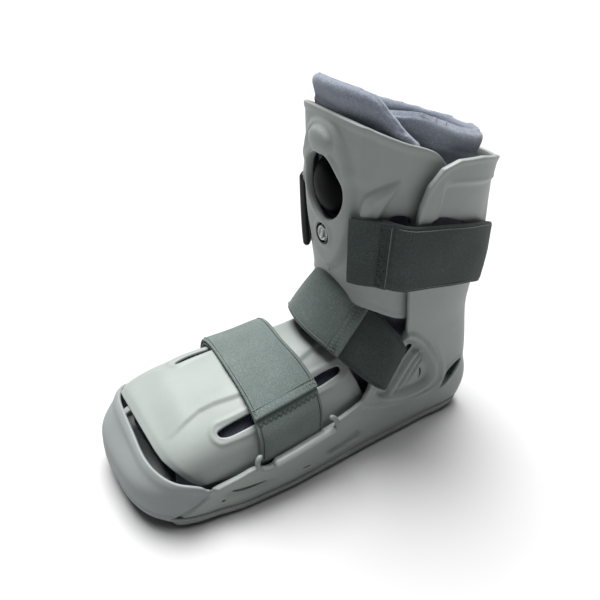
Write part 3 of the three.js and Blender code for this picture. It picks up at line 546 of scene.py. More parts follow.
def tube(path, r, sides=8, closed=False, flat=1.0):
    """a round bar along points; returns verts, faces"""
    p = np.asarray(path, float)
    n = len(p)
    t = unit(np.roll(p, -1, axis=0) - np.roll(p, 1, axis=0)) if closed else unit(np.gradient(p, axis=0))
    up = np.array([0, 0, 1.0]) if abs(t[0][2]) < 0.9 else np.array([1.0, 0, 0])
    V, a = [], unit(np.cross(t[0], up))
    rr = np.broadcast_to(r, (n,))
    for i in range(n):
        a = unit(a - t[i] * np.dot(a, t[i]))
        b = np.cross(t[i], a)
        for k in range(sides):
            q = 2 * math.pi * k / sides
            V.append(p[i] + rr[i] * (math.cos(q) * a + flat * math.sin(q) * b))
    F = grid_faces(n, sides, wrap_t=closed, wrap_s=True)
    if not closed:
        F += [tuple(range(sides))[::-1], tuple((n - 1) * sides + k for k in range(sides))]
    return np.array(V), F


def join(parts):
    V, F, base = [], [], 0
    for v, f in parts:
        V.append(v)
        F += [tuple(base + i for i in x) for x in f]
        base += len(v)
    return np.concatenate(V), F


def threads(name, runs, mat, r=0.28, body="boot"):
    """sewn stitches: each run is (points, normals), one short raised arc for each pair of points"""
    parts = []
    for pts, nrm in runs:
        for i in range(len(pts) - 1):
            a, b, n = pts[i], pts[i + 1], unit(nrm[i] + nrm[i + 1])
            row = [a - n * 0.25, a + (b - a) * 0.12 + n * 0.22, a + (b - a) * 0.5 + n * 0.34, a + (b - a) * 0.88 + n * 0.22, b - n * 0.25]
            parts.append(tube(row, r, sides=5))
    V, F = join(parts)
    return make(name, V, F, [mat], body=body)


def on_ribbon(F, ts, ss, up):
    """points and normals on a ribbon's outer face"""
    ts, ss = np.asarray(ts, float), np.asarray(ss, float)
    e = 1e-3
    b = F(ts, ss)
    n = unit(np.cross(F(ts + e, ss) - F(ts - e, ss), F(ts, ss + e) - F(ts, ss - e)))
    n *= np.sign(np.sum(n * (b - np.array([0, 40.0, 60.0])), axis=-1).mean())
    return b + n * up, n


def lathe(profile, n=96, centre=(0, 0, 0), axis="-y"):
    """a turned piece; profile rows are (radius, height along the axis), on the axis at both ends or closed"""
    V, F, rows = [], [], []
    for r, h in profile:
        if r < 1e-6:
            rows.append([len(V)])
            V.append((0, 0, h))
        else:
            rows.append(list(range(len(V), len(V) + n)))
            V += [(r * math.cos(2 * math.pi * k / n), r * math.sin(2 * math.pi * k / n), h) for k in range(n)]
    for a, b in zip(rows[:-1], rows[1:]):
        for k in range(n):
            k2 = (k + 1) % n
            if len(a) == 1 and len(b) == 1:
                continue
            if len(a) == 1:
                F.append((a[0], b[k], b[k2]))
            elif len(b) == 1:
                F.append((a[k], b[0], a[k2]))
            else:
                F.append((a[k], b[k], b[k2], a[k2]))
    V = np.array(V, float)
    if axis == "-y":
        V = np.stack([V[:, 0], -V[:, 2], V[:, 1]], 1)
    return V + np.array(centre, float), F


def catmull(rows, n):
    """a centripetal curve through rows, n places spread by length"""
    p = np.asarray(rows, float)
    ext = np.concatenate([[2 * p[0] - p[1]], p, [2 * p[-1] - p[-2]]])
    out = []
    for i in range(len(p) - 1):
        p0, p1, p2, p3 = ext[i:i + 4]
        t0 = 0.0
        t1 = t0 + np.linalg.norm(p1 - p0) ** 0.5
        t2 = t1 + np.linalg.norm(p2 - p1) ** 0.5
        t3 = t2 + np.linalg.norm(p3 - p2) ** 0.5
        for t in np.linspace(t1, t2, 24, endpoint=False):
            a1 = (t1 - t) / (t1 - t0) * p0 + (t - t0) / (t1 - t0) * p1
            a2 = (t2 - t) / (t2 - t1) * p1 + (t - t1) / (t2 - t1) * p2
            a3 = (t3 - t) / (t3 - t2) * p2 + (t - t2) / (t3 - t2) * p3
            b1 = (t2 - t) / (t2 - t0) * a1 + (t - t0) / (t2 - t0) * a2
            b2 = (t3 - t) / (t3 - t1) * a2 + (t - t1) / (t3 - t1) * a3
            out.append((t2 - t) / (t2 - t1) * b1 + (t - t1) / (t2 - t1) * b2)
    out.append(p[-1])
    return resample(np.array(out), n)


# ------------------------------------------------------------------ materials
def lin(r, g, b):
    f = lambda c: c / 12.92 if c <= 0.04045 else ((c + 0.055) / 1.055) ** 2.4
    return (f(r / 255), f(g / 255), f(b / 255), 1.0)


class Mat:
    """a small helper to wire one procedural material"""

    def __init__(self, name, rough=0.5, metal=0.0, spec=0.5, sheen=0.0, coat=0.0, coat_rough=0.1, sheen_rough=0.5):
        self.m = bpy.data.materials.new(name)
        self.m.use_nodes = True
        self.nt = self.m.node_tree
        self.b = self.nt.nodes["Principled BSDF"]
        self.b.inputs["Roughness"].default_value = rough
        self.b.inputs["Metallic"].default_value = metal
        self.b.inputs["Specular IOR Level"].default_value = spec
        self.b.inputs["Sheen Weight"].default_value = sheen
        self.b.inputs["Sheen Roughness"].default_value = sheen_rough
        self.b.inputs["Coat Weight"].default_value = coat
        self.b.inputs["Coat Roughness"].default_value = coat_rough
        self.co = self.node("ShaderNodeTexCoord").outputs["Object"]

    def node(self, kind, **props):
        n = self.nt.nodes.new(kind)
        for k, v in props.items():
            setattr(n, k, v)
        return n

    def link(self, a, b):
        self.nt.links.new(a, b)

    def scaled(self, s):
        n = self.node("ShaderNodeMapping")
        n.inputs["Scale"].default_value = s if isinstance(s, tuple) else (s, s, s)
        self.link(self.co, n.inputs["Vector"])
        return n.outputs["Vector"]

    def noise(self, scale, detail=3.0, rough=0.55, vec=None, distort=0.0):
        n = self.node("ShaderNodeTexNoise")
        n.inputs["Scale"].default_value = scale
        n.inputs["Detail"].default_value = detail
        n.inputs["Roughness"].default_value = rough
        n.inputs["Distortion"].default_value = distort
        self.link(vec or self.co, n.inputs["Vector"])
        return n.outputs["Fac"]

    def voronoi(self, scale, vec=None, feature="F1"):
        n = self.node("ShaderNodeTexVoronoi", feature=feature)
        n.inputs["Scale"].default_value = scale
        self.link(vec or self.co, n.inputs["Vector"])
        return n.outputs["Distance"]

    def ramp(self, fac, stops):
        n = self.node("ShaderNodeValToRGB")
        el = n.color_ramp.elements
        while len(el) < len(stops):
            el.new(0.5)
        for e, (p, c) in zip(el, stops):
            e.position, e.color = p, c
        self.link(fac, n.inputs["Fac"])
        return n.outputs["Color"]

    def mixc(self, fac, a, b, mode="MIX"):
        n = self.node("ShaderNodeMix", data_type="RGBA", blend_type=mode)
        if isinstance(fac, (int, float)):
            n.inputs[0].default_value = fac
        else:
            self.link(fac, n.inputs[0])
        for sock, val in ((n.inputs[6], a), (n.inputs[7], b)):
            if isinstance(val, tuple):
                sock.default_value = val
            else:
                self.link(val, sock)
        return n.outputs[2]

    def span(self, fac, lo, hi, a, b):
        n = self.node("ShaderNodeMapRange")
        self.link(fac, n.inputs["Value"])
        for k, v in zip(("From Min", "From Max", "To Min", "To Max"), (lo, hi, a, b)):
            n.inputs[k].default_value = v
        return n.outputs["Result"]

    def add(self, a, b, ka=1.0, kb=1.0):
        n = self.node("ShaderNodeMath", operation="MULTIPLY")
        self.link(a, n.inputs[0])
        n.inputs[1].default_value = ka
        m = self.node("ShaderNodeMath", operation="MULTIPLY_ADD")
        self.link(b, m.inputs[0])
        m.inputs[1].default_value = kb
        self.link(n.outputs[0], m.inputs[2])
        return m.outputs[0]

    def bump(self, height, dist, strength=1.0):
        n = self.node("ShaderNodeBump")
        n.inputs["Strength"].default_value = strength
        n.inputs["Distance"].default_value = dist
        self.link(height, n.inputs["Height"])
        self.link(n.outputs["Normal"], self.b.inputs["Normal"])

    def colour(self, c):
        self.link(c, self.b.inputs["Base Color"])

    def rough(self, r):
        self.link(r, self.b.inputs["Roughness"])


def shade(c, k):
    return (c[0] * k, c[1] * k, c[2] * k, 1.0)


def moulded(name, base, rough=0.42, wear=1.25, grain=0.00006, low=0.9):
    """moulded plastic: fine spark-eroded grain, faint flow marks, scuffed edges, painted shade in the hollows"""
    m = Mat(name, rough=rough, spec=0.3)
    flow = m.noise(18, 4, 0.6, m.scaled((1.0, 0.6, 1.6)))
    fine = m.noise(900, 2, 0.5)
    spots = m.noise(140, 5, 0.7)
    col = m.ramp(flow, [(0.3, shade(base, low)), (0.5, base), (0.72, shade(base, 1.06))])
    col = m.mixc(m.span(spots, 0.62, 0.8, 0.0, 0.25), col, shade(base, 0.78))
    edge = m.node("ShaderNodeNewGeometry").outputs["Pointiness"]
    worn = m.span(edge, 0.53, 0.62, 0.0, 0.55)
    # painted shade: concave places are darkened towards 0.55 of the base colour
    hollow_shade = m.span(edge, 0.47, 0.40, 0.0, 0.5)
    col = m.mixc(worn, col, shade(base, wear))
    col = m.mixc(hollow_shade, col, shade(base, 0.55))
    m.colour(col)
    m.rough(m.span(m.add(flow, spots, 0.6, 0.4), 0.3, 0.7, rough - 0.07, rough + 0.1))
    m.bump(m.add(fine, spots, 0.7, 0.5), grain)
    return m.m


def rubber(name, base, rough=0.6, grain=0.0001, spec=0.35):
    m = Mat(name, rough=rough, spec=spec)
    big, fine = m.noise(30, 4, 0.6), m.voronoi(1100)
    col = m.ramp(big, [(0.3, shade(base, 0.86)), (0.55, base), (0.75, shade(base, 1.12))])
    edge = m.node("ShaderNodeNewGeometry").outputs["Pointiness"]
    col = m.mixc(m.span(edge, 0.53, 0.62, 0.0, 0.5), col, shade(base, 1.3))
    m.colour(col)
    m.rough(m.span(big, 0.3, 0.7, rough - 0.08, rough + 0.1))
    m.bump(m.add(fine, big, 0.5, 0.6), grain)
    return m.m


def napped(name, base, light, pile=0.00035, sheen=0.35, fibre=520):
    """brushed loop cloth: short tangled pile with pale fibre tips"""
    m = Mat(name, rough=0.9, spec=0.15, sheen=sheen, sheen_rough=0.45)
    tuft = m.noise(fibre, 5, 0.75)
    felt = m.voronoi(fibre * 1.7)
    patch = m.noise(38, 3, 0.6)
    col = m.ramp(m.add(tuft, patch, 0.85, 0.2), [(0.36, shade(base, 0.7)), (0.55, base), (0.72, light)])
    m.colour(col)
    m.rough(m.span(tuft, 0.3, 0.7, 0.82, 0.98))
    m.bump(m.add(tuft, felt, 1.0, 0.6), pile)
    return m.m


def woven(name, base, light, pitch=900.0, depth=0.00018, sheen=0.12, rough=0.75):
    """close woven tape: crossing ribs seen along all three axes"""
    m = Mat(name, rough=rough, spec=0.25, sheen=sheen, sheen_rough=0.4)
    wx = m.node("ShaderNodeTexWave", wave_type="BANDS", bands_direction="DIAGONAL")
    wx.inputs["Scale"].default_value = pitch / 6.3
    wx.inputs["Distortion"].default_value = 0.6
    m.link(m.co, wx.inputs["Vector"])
    wy = m.node("ShaderNodeTexWave", wave_type="BANDS", bands_direction="Z")
    wy.inputs["Scale"].default_value = pitch / 6.3
    wy.inputs["Distortion"].default_value = 0.5
    m.link(m.co, wy.inputs["Vector"])
    fuzz, patch = m.noise(700, 4, 0.7), m.noise(45, 3, 0.6)
    w = m.add(wx.outputs["Fac"], wy.outputs["Fac"], 0.5, 0.5)
    col = m.ramp(m.add(m.add(w, fuzz, 0.45, 0.35), patch, 0.8, 0.35), [(0.3, shade(base, 0.72)), (0.55, base), (0.78, light)])
    m.colour(col)
    m.rough(m.span(fuzz, 0.3, 0.7, rough - 0.08, rough + 0.12))
    m.bump(m.add(w, fuzz, 0.6, 0.7), depth)
    return m.m


PLASTIC = lin(139, 145, 142)
M_SHELL = moulded("shell_plastic", PLASTIC)
M_BUMPER = moulded("bumper_plastic", lin(130, 135, 135), rough=0.5, grain=0.0001)
M_SOLE = rubber("sole_rubber", lin(128, 133, 131), rough=0.62)
M_TREAD = rubber("tread_rubber", lin(70, 74, 74), rough=0.72)
M_BLACK = rubber("bulb_rubber", lin(3, 4, 4), rough=0.4, grain=0.00002, spec=0.03)
M_RING = moulded("black_plastic", lin(26, 27, 29), rough=0.35, wear=1.8)
M_KNOB = moulded("dial_plastic", lin(196, 200, 200), rough=0.3)
M_DARKSTRAP = napped("strap_dark", lin(62, 70, 68), lin(80, 89, 86), pile=0.0002, sheen=0.12, fibre=900)
M_LIGHTSTRAP = napped("strap_light", lin(97, 107, 104), lin(120, 130, 127), pile=0.00022, sheen=0.2, fibre=900)
M_HOOKTAPE = napped("hook_tape", lin(100, 109, 106), lin(116, 125, 122), pile=0.0001, sheen=0.15, fibre=1100)
M_LOOP = moulded("loop_plastic", lin(128, 134, 131), rough=0.4)
M_BAR = moulded("bar_plastic", lin(158, 164, 162), rough=0.34)
M_LINER = napped("liner_cloth", lin(127, 133, 145), lin(156, 163, 176), pile=0.00022, sheen=0.25, fibre=1000)
# painted shade: the liner's foot part is a darker copy of the liner cloth, standing in for the shade deep inside the
# shell
M_LINER_FOOT_SHADED = napped("liner_foot_cloth_painted_shade", lin(88, 92, 106), lin(112, 117, 132), pile=0.0002, sheen=0.2, fibre=1000)
M_THREAD = woven("sewing_thread", lin(116, 125, 122), lin(140, 149, 146), pitch=3000, depth=0.00004)
M_THREAD_DARK = woven("sewing_thread_dark", lin(60, 67, 65), lin(84, 92, 90), pitch=3000, depth=0.00004)

# ------------------------------------------------------------------ outlines on the surfaces
SEAM = [(-97, 30.6), (-103, 26.4), (-107.4, 23.4), (-115, 17.6), (-120, 13.6), (-125, 10.5), (-127, 3)]
WALL_TOP = [(-97, 31.2), (-93, 32.6), (-81, 36.2), (-70, 39.4), (-66, 39.2), (-61, 36.4), (-56, 34.8), (-52.8, 35.6), (-50, 39.4), (-30, 42.8), (-8, 46.0), (1.4, 47.2), (4, 50.2), (17, 53.2), (27, 56.6)]
EAR = [(33, 66), (37, 78), (42, 90), (50, 99.5), (58, 104.5), (61.5, 110), (60.5, 122), (57.5, 138), (54.8, 155), (51.8, 175), (50, 195), (50.5, 212), (54, 226), (62, 236), (74, 240)]
WING_TOP = [(74, 240), (95, 239), (118, 234), (134, 227.6)]
WINDOW = [(60, 200), (66, 203.5), (80, 200), (94, 193), (100, 186), (98, 156), (92, 150), (64, 160), (60, 166)]
LENS = [(111, 30.6), (112.6, 36), (112.6, 43.6), (117.4, 51.4), (125.4, 56.2), (133.4, 56.6), (134.4, 52.4), (130.5, 47.6), (125.8, 42), (120.6, 36), (115.6, 31.6)]
CRESCENT = [(-85.6, 24.2), (-82, 24.8), (-74, 23.4), (-66, 22.0), (-58, 20.6), (-53.4, 19.2), (-57, 18.2), (-66, 18.2), (-75, 18.9), (-83.4, 20.4)]
NICK = [(-3.4, 22.6), (8, 25.6), (20, 28.6), (24.8, 29.2), (23.6, 27.3), (12, 24.4), (0, 21.2)]
DIMPLE = [(-92.6, 16.6), (-90.8, 18.4), (-88.4, 18.0), (-88.6, 15.8), (-91, 14.8)]
MARK = [(-26.6, 17.2), (-22, 16.8), (-18, 15.6), (-18.4, 13.8), (-22.4, 14.2), (-26.4, 15.2)]
RECESS = np.array([(-4.4, 21.4), (-0.6, 16.0), (8, 16.6), (18, 18.2), (27, 20.4), (29.4, 24), (23.4, 28.8), (14, 26.6), (4, 24.0)], float)
HATCH = [(65.4, 94.4), (71.4, 94.2), (73.2, 90.0), (70.0, 86.4), (62, 74), (53.4, 58.8), (51.0, 57.2), (48.4, 59.2), (56.4, 74), (63.4, 87.2)]


def on_shell(path, side):
    return np.array([(shell_u(y, z, side), z) for y, z in path])


def wall_loops():
    top = densify(np.array(WALL_TOP + EAR[:-1] + WING_TOP, float), 1.2, closed=False)
    top = chaikin(top, 1, closed=False)
    seam = densify(np.array(SEAM[::-1], float), 1.2, closed=False)
    loops = []
    right = on_shell(np.concatenate([seam, top]), 1)
    left = on_shell(np.concatenate([seam, top]), -1)
    z_end = right[-1, 1]
    k = np.linspace(0, 1, 40)
    back = np.stack([mix(right[-1, 0], left[-1, 0], k), z_end - 2.0 * np.sin(math.pi * k)], 1)[1:-1]
    low = np.stack([np.linspace(left[0, 0], right[0, 0], 420), np.full(420, 3.0)], 1)[1:-1]
    loops.append(np.concatenate([right, back, left[::-1], low]))
    for side in (1, -1):
        for poly, it in ((WINDOW, 2), (LENS, 2), (CRESCENT, 2), (MARK, 1), (NICK, 1), (DIMPLE, 1), (HATCH, 2)):
            p = densify(chaikin(np.array(poly, float), it), 1.0)
            loops.append(on_shell(p, side))
        c = chaikin(np.array([(83.2, 67), (87.5, 63.5), (90.5, 57.5), (89.6, 52), (86.5, 48.5), (87.4, 55), (86, 61)], float), 2)
        loops.append(on_shell(densify(c, 0.9), side))
    return loops


def seg_dist(y, z, pts):
    """distance from (y, z) to a broken line, and how far along it, 0 to 1"""
    best, where = np.full(np.shape(y), 1e9), np.zeros(np.shape(y))
    pts = np.asarray(pts, float)
    seg = np.linalg.norm(np.diff(pts, axis=0), axis=1)
    total, run = seg.sum(), 0.0
    for (a, b), L in zip(zip(pts[:-1], pts[1:]), seg):
        d = b - a
        k = clamp(((y - a[0]) * d[0] + (z - a[1]) * d[1]) / (L * L), 0, 1)
        r = np.hypot(y - a[0] - k * d[0], z - a[1] - k * d[1])
        m = r < best
        best, where = np.where(m, r, best), np.where(m, (run + k * L) / total, where)
        run += L
    return best, where


def curve(pts, n=60):
    return densify(chaikin(np.array(pts, float), 3, closed=False), 1.5, closed=False)


def hump(d, w):
    return smooth(w, 0, d)


def in_poly(y, z, poly, soft):
    """1 inside a closed polygon, falling to 0 over soft millimetres outside it"""
    p = np.asarray(poly, float)
    d, _ = seg_dist(y, z, np.concatenate([p, p[:1]]))
    ins = inside(np.stack([np.ravel(y), np.ravel(z)], 1), [p]).reshape(np.shape(y))
    return smooth(-soft / 2, soft / 2, np.where(ins, d, -d))


RING = chaikin(np.array([(52, 103), (60, 106), (69, 101.8), (81.8, 89), (93, 74), (99.6, 60), (100.6, 50), (94, 43.4), (82, 42.6), (68, 44.2), (54, 48.6), (43, 55)], float), 2, closed=False)
CONTOUR = chaikin(np.array([(22, 55.5), (29, 51.4), (44.7, 44), (64, 38.6), (83.8, 34.8), (98.5, 33.6), (107, 36), (112, 43), (111.4, 54), (107.5, 65), (101.8, 75), (96, 88), (93, 100)], float), 2, closed=False)
RING_FILL = np.concatenate([RING, [(40, 58), (46, 92)]])
BAR = np.array([(75.4, 83.4), (70, 74.6), (64, 64.8), (57.2, 54.4)], float)
RIB2 = np.array([(81.4, 76.4), (76, 67), (70.6, 58), (66.4, 52)], float)
RIB3 = np.array([(85.4, 69.6), (80.6, 61), (75.6, 53)], float)
VEE = np.array([(40, 66), (45, 60.4), (50.4, 56.8)], float)
LEDGE = np.array([(66.5, 200), (65.2, 208), (65.6, 218), (67.5, 224), (73, 226), (80, 225.6), (94, 223.4), (110, 220.8), (124, 217)], float)


def shell_disp(u, v, P):
    x, y, z = P[:, 0], P[:, 1], P[:, 2]
    out = np.zeros(len(u))
    # ankle: a raised rim round a sunk bay with slanting ribs
    bay = in_poly(y, z, RING_FILL, 5.0)
    out -= 2.8 * bay
    d, t = seg_dist(y, z, RING)
    out += (2.9 * smooth(5.0, 2.4, d) + 0.5 * hump(d, 3.0)) * smooth(0, 0.05, t) * smooth(1, 0.92, t)
    for rib, h, w in ((BAR, 4.0, 3.3), (RIB2, 2.7, 2.5), (RIB3, 2.2, 2.2)):
        d, _ = seg_dist(y, z, rib)
        out += h * np.sqrt(np.maximum(0, 1 - (d / w) ** 2)) * smooth(w, w * 0.86, d)
    d, _ = seg_dist(y, z, VEE)
    out += 1.2 * hump(d, 2.4)
    # the low wall stands proud below a long soft ridge
    d, t = seg_dist(y, z, CONTOUR)
    out += 1.9 * hump(d, 3.6) * smooth(0, 0.08, t) * smooth(1.0, 0.62, t)
    # wings: a raised border over a sunk field
    field = smooth(64.2, 67.5, y) * smooth(226.5, 222.5, z + 0.16 * (y - 74)) * smooth(150, 165, z) * smooth(134, 122, y)
    out -= 1.5 * field
    d, _ = seg_dist(y, z, LEDGE)
    out += 0.5 * hump(d, 2.2)
    lip, _ = seg_dist(y, z, curve(EAR[8:] + WING_TOP[1:]))
    out += 0.7 * hump(lip, 4.0) * smooth(140, 165, z)
    # rolled edge along the low walls
    top, _ = seg_dist(y, z, curve(WALL_TOP + EAR[:6]))
    out += 0.8 * hump(top, 4.2)
    # side slots lie in shallow flutes
    d, t = seg_dist(y, z, [(-90, 20.5), (-84, 21.6), (-68, 20.0), (-52, 18.2), (-46, 17.8)])
    out -= 1.7 * hump(d, 6.0) * smooth(0, 0.10, t) * smooth(1, 0.8, t)
    out -= 2.6 * in_poly(y, z, RECESS, 2.0)
    d, _ = seg_dist(y, z, curve([(-92, 30), (-60, 34), (-20, 38.5), (10, 43), (30, 47)]))
    out += 0.5 * hump(d, 7.0)
    # heel: a step round each heel slot and a shallow spine down the back
    d, _ = seg_dist(y, z, np.array(LENS + LENS[:1], float))
    out += 0.9 * hump(d, 2.8) * smooth(14, 22, np.abs(x))
    out += 0.9 * hump(np.abs(x), 9.0) * smooth(120, 140, y) * smooth(60, 84, z) * smooth(222, 200, z)
    # seam groove against the bumper
    d, _ = seg_dist(y, z, np.array([(-97, 33)] + SEAM, float))
    out -= 2.3 * hump(d, 3.0)
    # bottom edge tucks in above the sole
    out -= 0.8 * smooth(12.5, 9.5, z)
    return out


def build_shell():
    o = skin("shell_walls", shell, wall_loops(), [M_SHELL], T=WALL, su=1.75, sv=1.35, ku=0.8, disp=shell_disp, rim=0.8, coarse=6.0, tin=lambda u, v: WALL - 1.7 * smooth(26, 15, np.hypot(np.abs(u) - 56, v - 43)))
    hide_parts("rear_shell")
    # floor plate inside the walls
    ring = half_outline(15.0, 2.6)
    ring = ring[ring[:, 1] > -132]
    k = np.concatenate([ring, ring[::-1][:-1] * [-1, 1]])
    k[:, 1] += toe_skew(k[:, 0], k[:, 1])
    k = densify(k, 3.0)
    n = len(k)
    zt = FLOOR_Z + 4.5 * smooth(-95, -150, k[:, 1])
    zb = rocker(k[:, 1]) + SOLE_T + 0.5
    V = np.concatenate([np.column_stack([k, zb]), np.column_stack([k, zt])])
    uv, tri, where = fill([k], 8, 8)
    zi = FLOOR_Z + 4.5 * smooth(-95, -150, uv[:, 1])
    zj = rocker(uv[:, 1]) + SOLE_T + 0.5
    inner = np.arange(len(uv))
    V = np.concatenate([np.column_stack([uv, zi]), np.column_stack([uv, zj])])
    F = [tuple(f) for f in tri.tolist()] + [tuple(int(i) + len(uv) for i in f[::-1]) for f in tri.tolist()]
    w = where[:n]
    F += [(int(w[i]), int(w[i] + len(uv)), int(w[(i + 1) % n] + len(uv)), int(w[(i + 1) % n])) for i in range(n)]
    f = make("shell_floor", V, F, [M_SHELL], smooth_faces=False)
    return o


def build_bumper():
    loop = []
    for side in (1, -1):
        seam = densify(np.array([(-99.8, 31.8), (-99.9, 31.2), (-105.4, 27.6), (-109.8, 24.6), (-117.4, 18.9), (-122.4, 14.9), (-126.4, 12.2), (-128.4, 8.4)], float)[::-1], 1.2, closed=False)
        loop.append(on_shell(seam, side))
    right, left = loop
    n = 260
    us = np.linspace(right[-1, 0], left[-1, 0] + 2 * SHELL_L, n)[1:-1]
    # over the toe the outline runs past the end of the half line on to the other side
    tops = Column([(240, 31.4), (252, 31.4), (256, 33.4), (262, 38.6), (269, 42), (276, 44.2), (290, 48), (305, 50.6), (330, 54.6), (350, 56), (377, 54), (388, 50), (398, 42), (404, 34), (408, 31.4), (420, 31.4)])
    over = np.stack([us, tops(us)], 1)
    lu = np.linspace(left[0, 0] + 2 * SHELL_L, right[0, 0], 230)[1:-1]
    lz = []
    for u in lu:
        z = 9.0
        for _ in range(5):
            p = toe.at(u, z)
            z = float(rocker(p[1])) + SOLE_T - 2.6
        lz.append(z)
    low = np.stack([lu, lz], 1)
    left = left + [2 * SHELL_L, 0]
    out = np.concatenate([right, over, left[::-1], low])

    def disp(u, v, P):
        y, z, x = P[:, 1], P[:, 2], P[:, 0]
        d = 0.3 + 0.5 * smooth(32, 24, z) * smooth(6, 14, z)
        rise = tops(u)
        d = d + 0.7 * hump(np.abs(rise - 2.4 - z), 4.0) * smooth(-98, -110, y)
        d -= 0.55 * hump(np.abs(z - 13.5 - rocker(y) * 0.6), 1.8)
        e, _ = seg_dist(y, z, np.array([(-98, 33)] + SEAM, float))
        return d - 2.0 * hump(e, 3.0)

    o = skin("toe_bumper_skin", toe, [out], [M_BUMPER], T=WALL, su=1.3, sv=1.2, disp=disp, rim=0.8, coarse=4.0, tin=lambda u, v: 3.2 - 1.3 * smooth(10, 0, tops(u) - v))
    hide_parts("toe_bumper")
    return o


def make_toe_surface():
    """the shell surface again, with the toe in the middle of its span"""
    half = len(shell.us) // 2
    P = np.concatenate([shell.P[:, half:], shell.P[:, 1:half + 1]], axis=1)
    us = np.linspace(0, 2 * SHELL_L, P.shape[1])
    return Surface(us, shell.vs, P, lambda p: p - np.stack([p[..., 0] * 0, clamp(p[..., 1], -95, 75), p[..., 2]], -1))


toe = make_toe_surface()


def build_sole():
    n = 560
    ring = {}
    rows = []
    prof = [(0.0, 3.4, 0), (0.5, 1.6, 0), (1.6, 0.4, 0), (3.0, -0.5, 0), (4.6, -1.0, 0), (6.0, -1.0, 0), (6.9, -0.6, 0), (7.2, 0.3, 0), (7.2, 2.6, 0)]
    half = resample(half_outline(5.0), n // 2 + 1)
    full = np.concatenate([half, (half * [-1, 1])[::-1][1:-1]])
    full[:, 1] += toe_skew(full[:, 0], full[:, 1])
    t = np.roll(full, -1, axis=0) - np.roll(full, 1, axis=0)
    nrm = unit(np.stack([-t[:, 1], t[:, 0]], 1))
    if np.sum(nrm * (full - [0, 0])) < 0:
        nrm = -nrm
    V, F = [], []
    for h, d, _ in prof:
        p = full - nrm * d
        V.append(np.column_stack([p, rocker(p[:, 1]) + h]))
    m = len(full)
    for i in range(len(prof) - 1):
        for j in range(m):
            j2 = (j + 1) % m
            F.append((i * m + j, i * m + j2, (i + 1) * m + j2, (i + 1) * m + j))
    V = np.concatenate(V)
    ids = [0] * len(F)
    # tread: grid over the underside with chevron grooves
    loop = (full - nrm * 3.4)
    uv, tri, where = fill([loop], 1.9, 1.9)
    y, x = uv[:, 1], uv[:, 0]
    dist, _ = seg_dist(x, y, np.concatenate([loop[::6], loop[:1]]))
    wave = (y + 4.5 * np.abs(((x / 17.0) % 2) - 1) * 2) / 9.0
    groove = smooth(0.30, 0.16, np.abs((wave % 1) - 0.5)) * smooth(3.0, 6.0, dist)
    z = rocker(y) + 1.7 * groove
    base = len(V)
    remap = base + np.arange(len(uv))
    remap[where[:len(loop)]] = np.arange(m)
    V = np.concatenate([V, np.column_stack([uv, z])])
    F += [tuple(int(remap[i]) for i in f[::-1]) for f in tri]
    ids += [1] * len(tri)
    # top cap
    loop2 = full - nrm * 2.6
    uv, tri, where = fill([loop2], 12, 12)
    base = len(V)
    remap = base + np.arange(len(uv))
    remap[where[:len(loop2)]] = (len(prof) - 1) * m + np.arange(m)
    V = np.concatenate([V, np.column_stack([uv, rocker(uv[:, 1]) + 7.2])])
    F += [tuple(int(remap[i]) for i in f) for f in tri]
    ids += [0] * len(tri)
    o = make("outsole_tread", V, F, [M_SOLE, M_TREAD], ids)
    bm = bmesh.new()
    bm.from_mesh(o.data)
    bmesh.ops.delete(bm, geom=[q for q in bm.verts if not q.link_faces], context="VERTS")
    bmesh.ops.recalc_face_normals(bm, faces=bm.faces)
    bm.to_mesh(o.data)
    bm.free()
    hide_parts("outsole")
    return o


# ------------------------------------------------------------------ forefoot panel
PLATEAU_R = [(25.9, -113), (22.5, -102.6), (19.8, -91), (20.8, -80.5), (24.6, -65.5), (25.5, -40), (22.1, -14.8), (18.3, -1.4), (15.5, 12)]
PLATEAU_L = [(-37.0, -108), (-32.6, -99), (-30.6, -89.7), (-29.4, -80), (-27.8, -66), (-27.2, -40), (-25.9, -13.3), (-24.5, 2), (-22, 14)]


def panel_u(x, y):
    row = int(round(clamp((y - panel.vs[0]) / (panel.vs[1] - panel.vs[0]), 0, len(panel.vs) - 1)))
    xs = panel.P[row][:, 0]
    return float(np.interp(x, xs, panel.us))


hem = Column([(0, -129.4), (30, -129.2), (44, -128.2), (54, -125.0), (64, -119.5), (71, -114.5), (76.5, -109.0), (80, -105.0)])


def panel_loops():
    n = 150
    u = np.linspace(-76.5, 76.5, n)
    front = np.array([(a, float(hem(abs(a)))) for a in u])
    s = u / PANEL_L
    back = np.array([(a, mix(12, 44, abs(b) ** 1.6)) for a, b in zip(u, s)])
    # near the front corners the edge tucks down behind the bumper
    ry = np.linspace(float(hem(76.5)), mix(12, 44, (76.5 / PANEL_L) ** 1.6), 130)[1:-1]
    right = np.stack([np.full(len(ry), 76.5), ry], 1)
    left = np.stack([np.full(len(ry), -76.5), ry], 1)
    outer = np.concatenate([front, right, back[::-1], left[::-1]])
    loops = [outer]
    for sx in (1, -1):
        a = [(39.6, -89.4), (44.8, -88.6), (47.0, -82), (46.6, -72), (45.8, -60), (44.4, -47), (36.2, -47), (36.2, -60), (36.8, -72), (37.6, -82)]
        b = [(33.0, -15), (39.6, -14.4), (40.6, -5), (39.0, 6), (37.6, 15), (31.4, 15.4), (30.8, 4), (31.8, -6)]
        if sx < 0:
            a = [(28.6, -90), (33.4, -89), (35.0, -80), (34.6, -66), (33.6, -47), (28.4, -47), (27.4, -58), (27.2, -70), (27.8, -82)]
        for poly in (a, b):
            p = densify(chaikin(np.array([(sx * q[0], q[1]) for q in poly], float), 2), 1.0)
            loops.append(p)
    q = np.linspace(0, 2 * math.pi, 25)[:-1]
    loops.append(np.stack([-1.5 + 1.9 * np.cos(q), 4.4 + 1.9 * np.sin(q)], 1))
    return loops


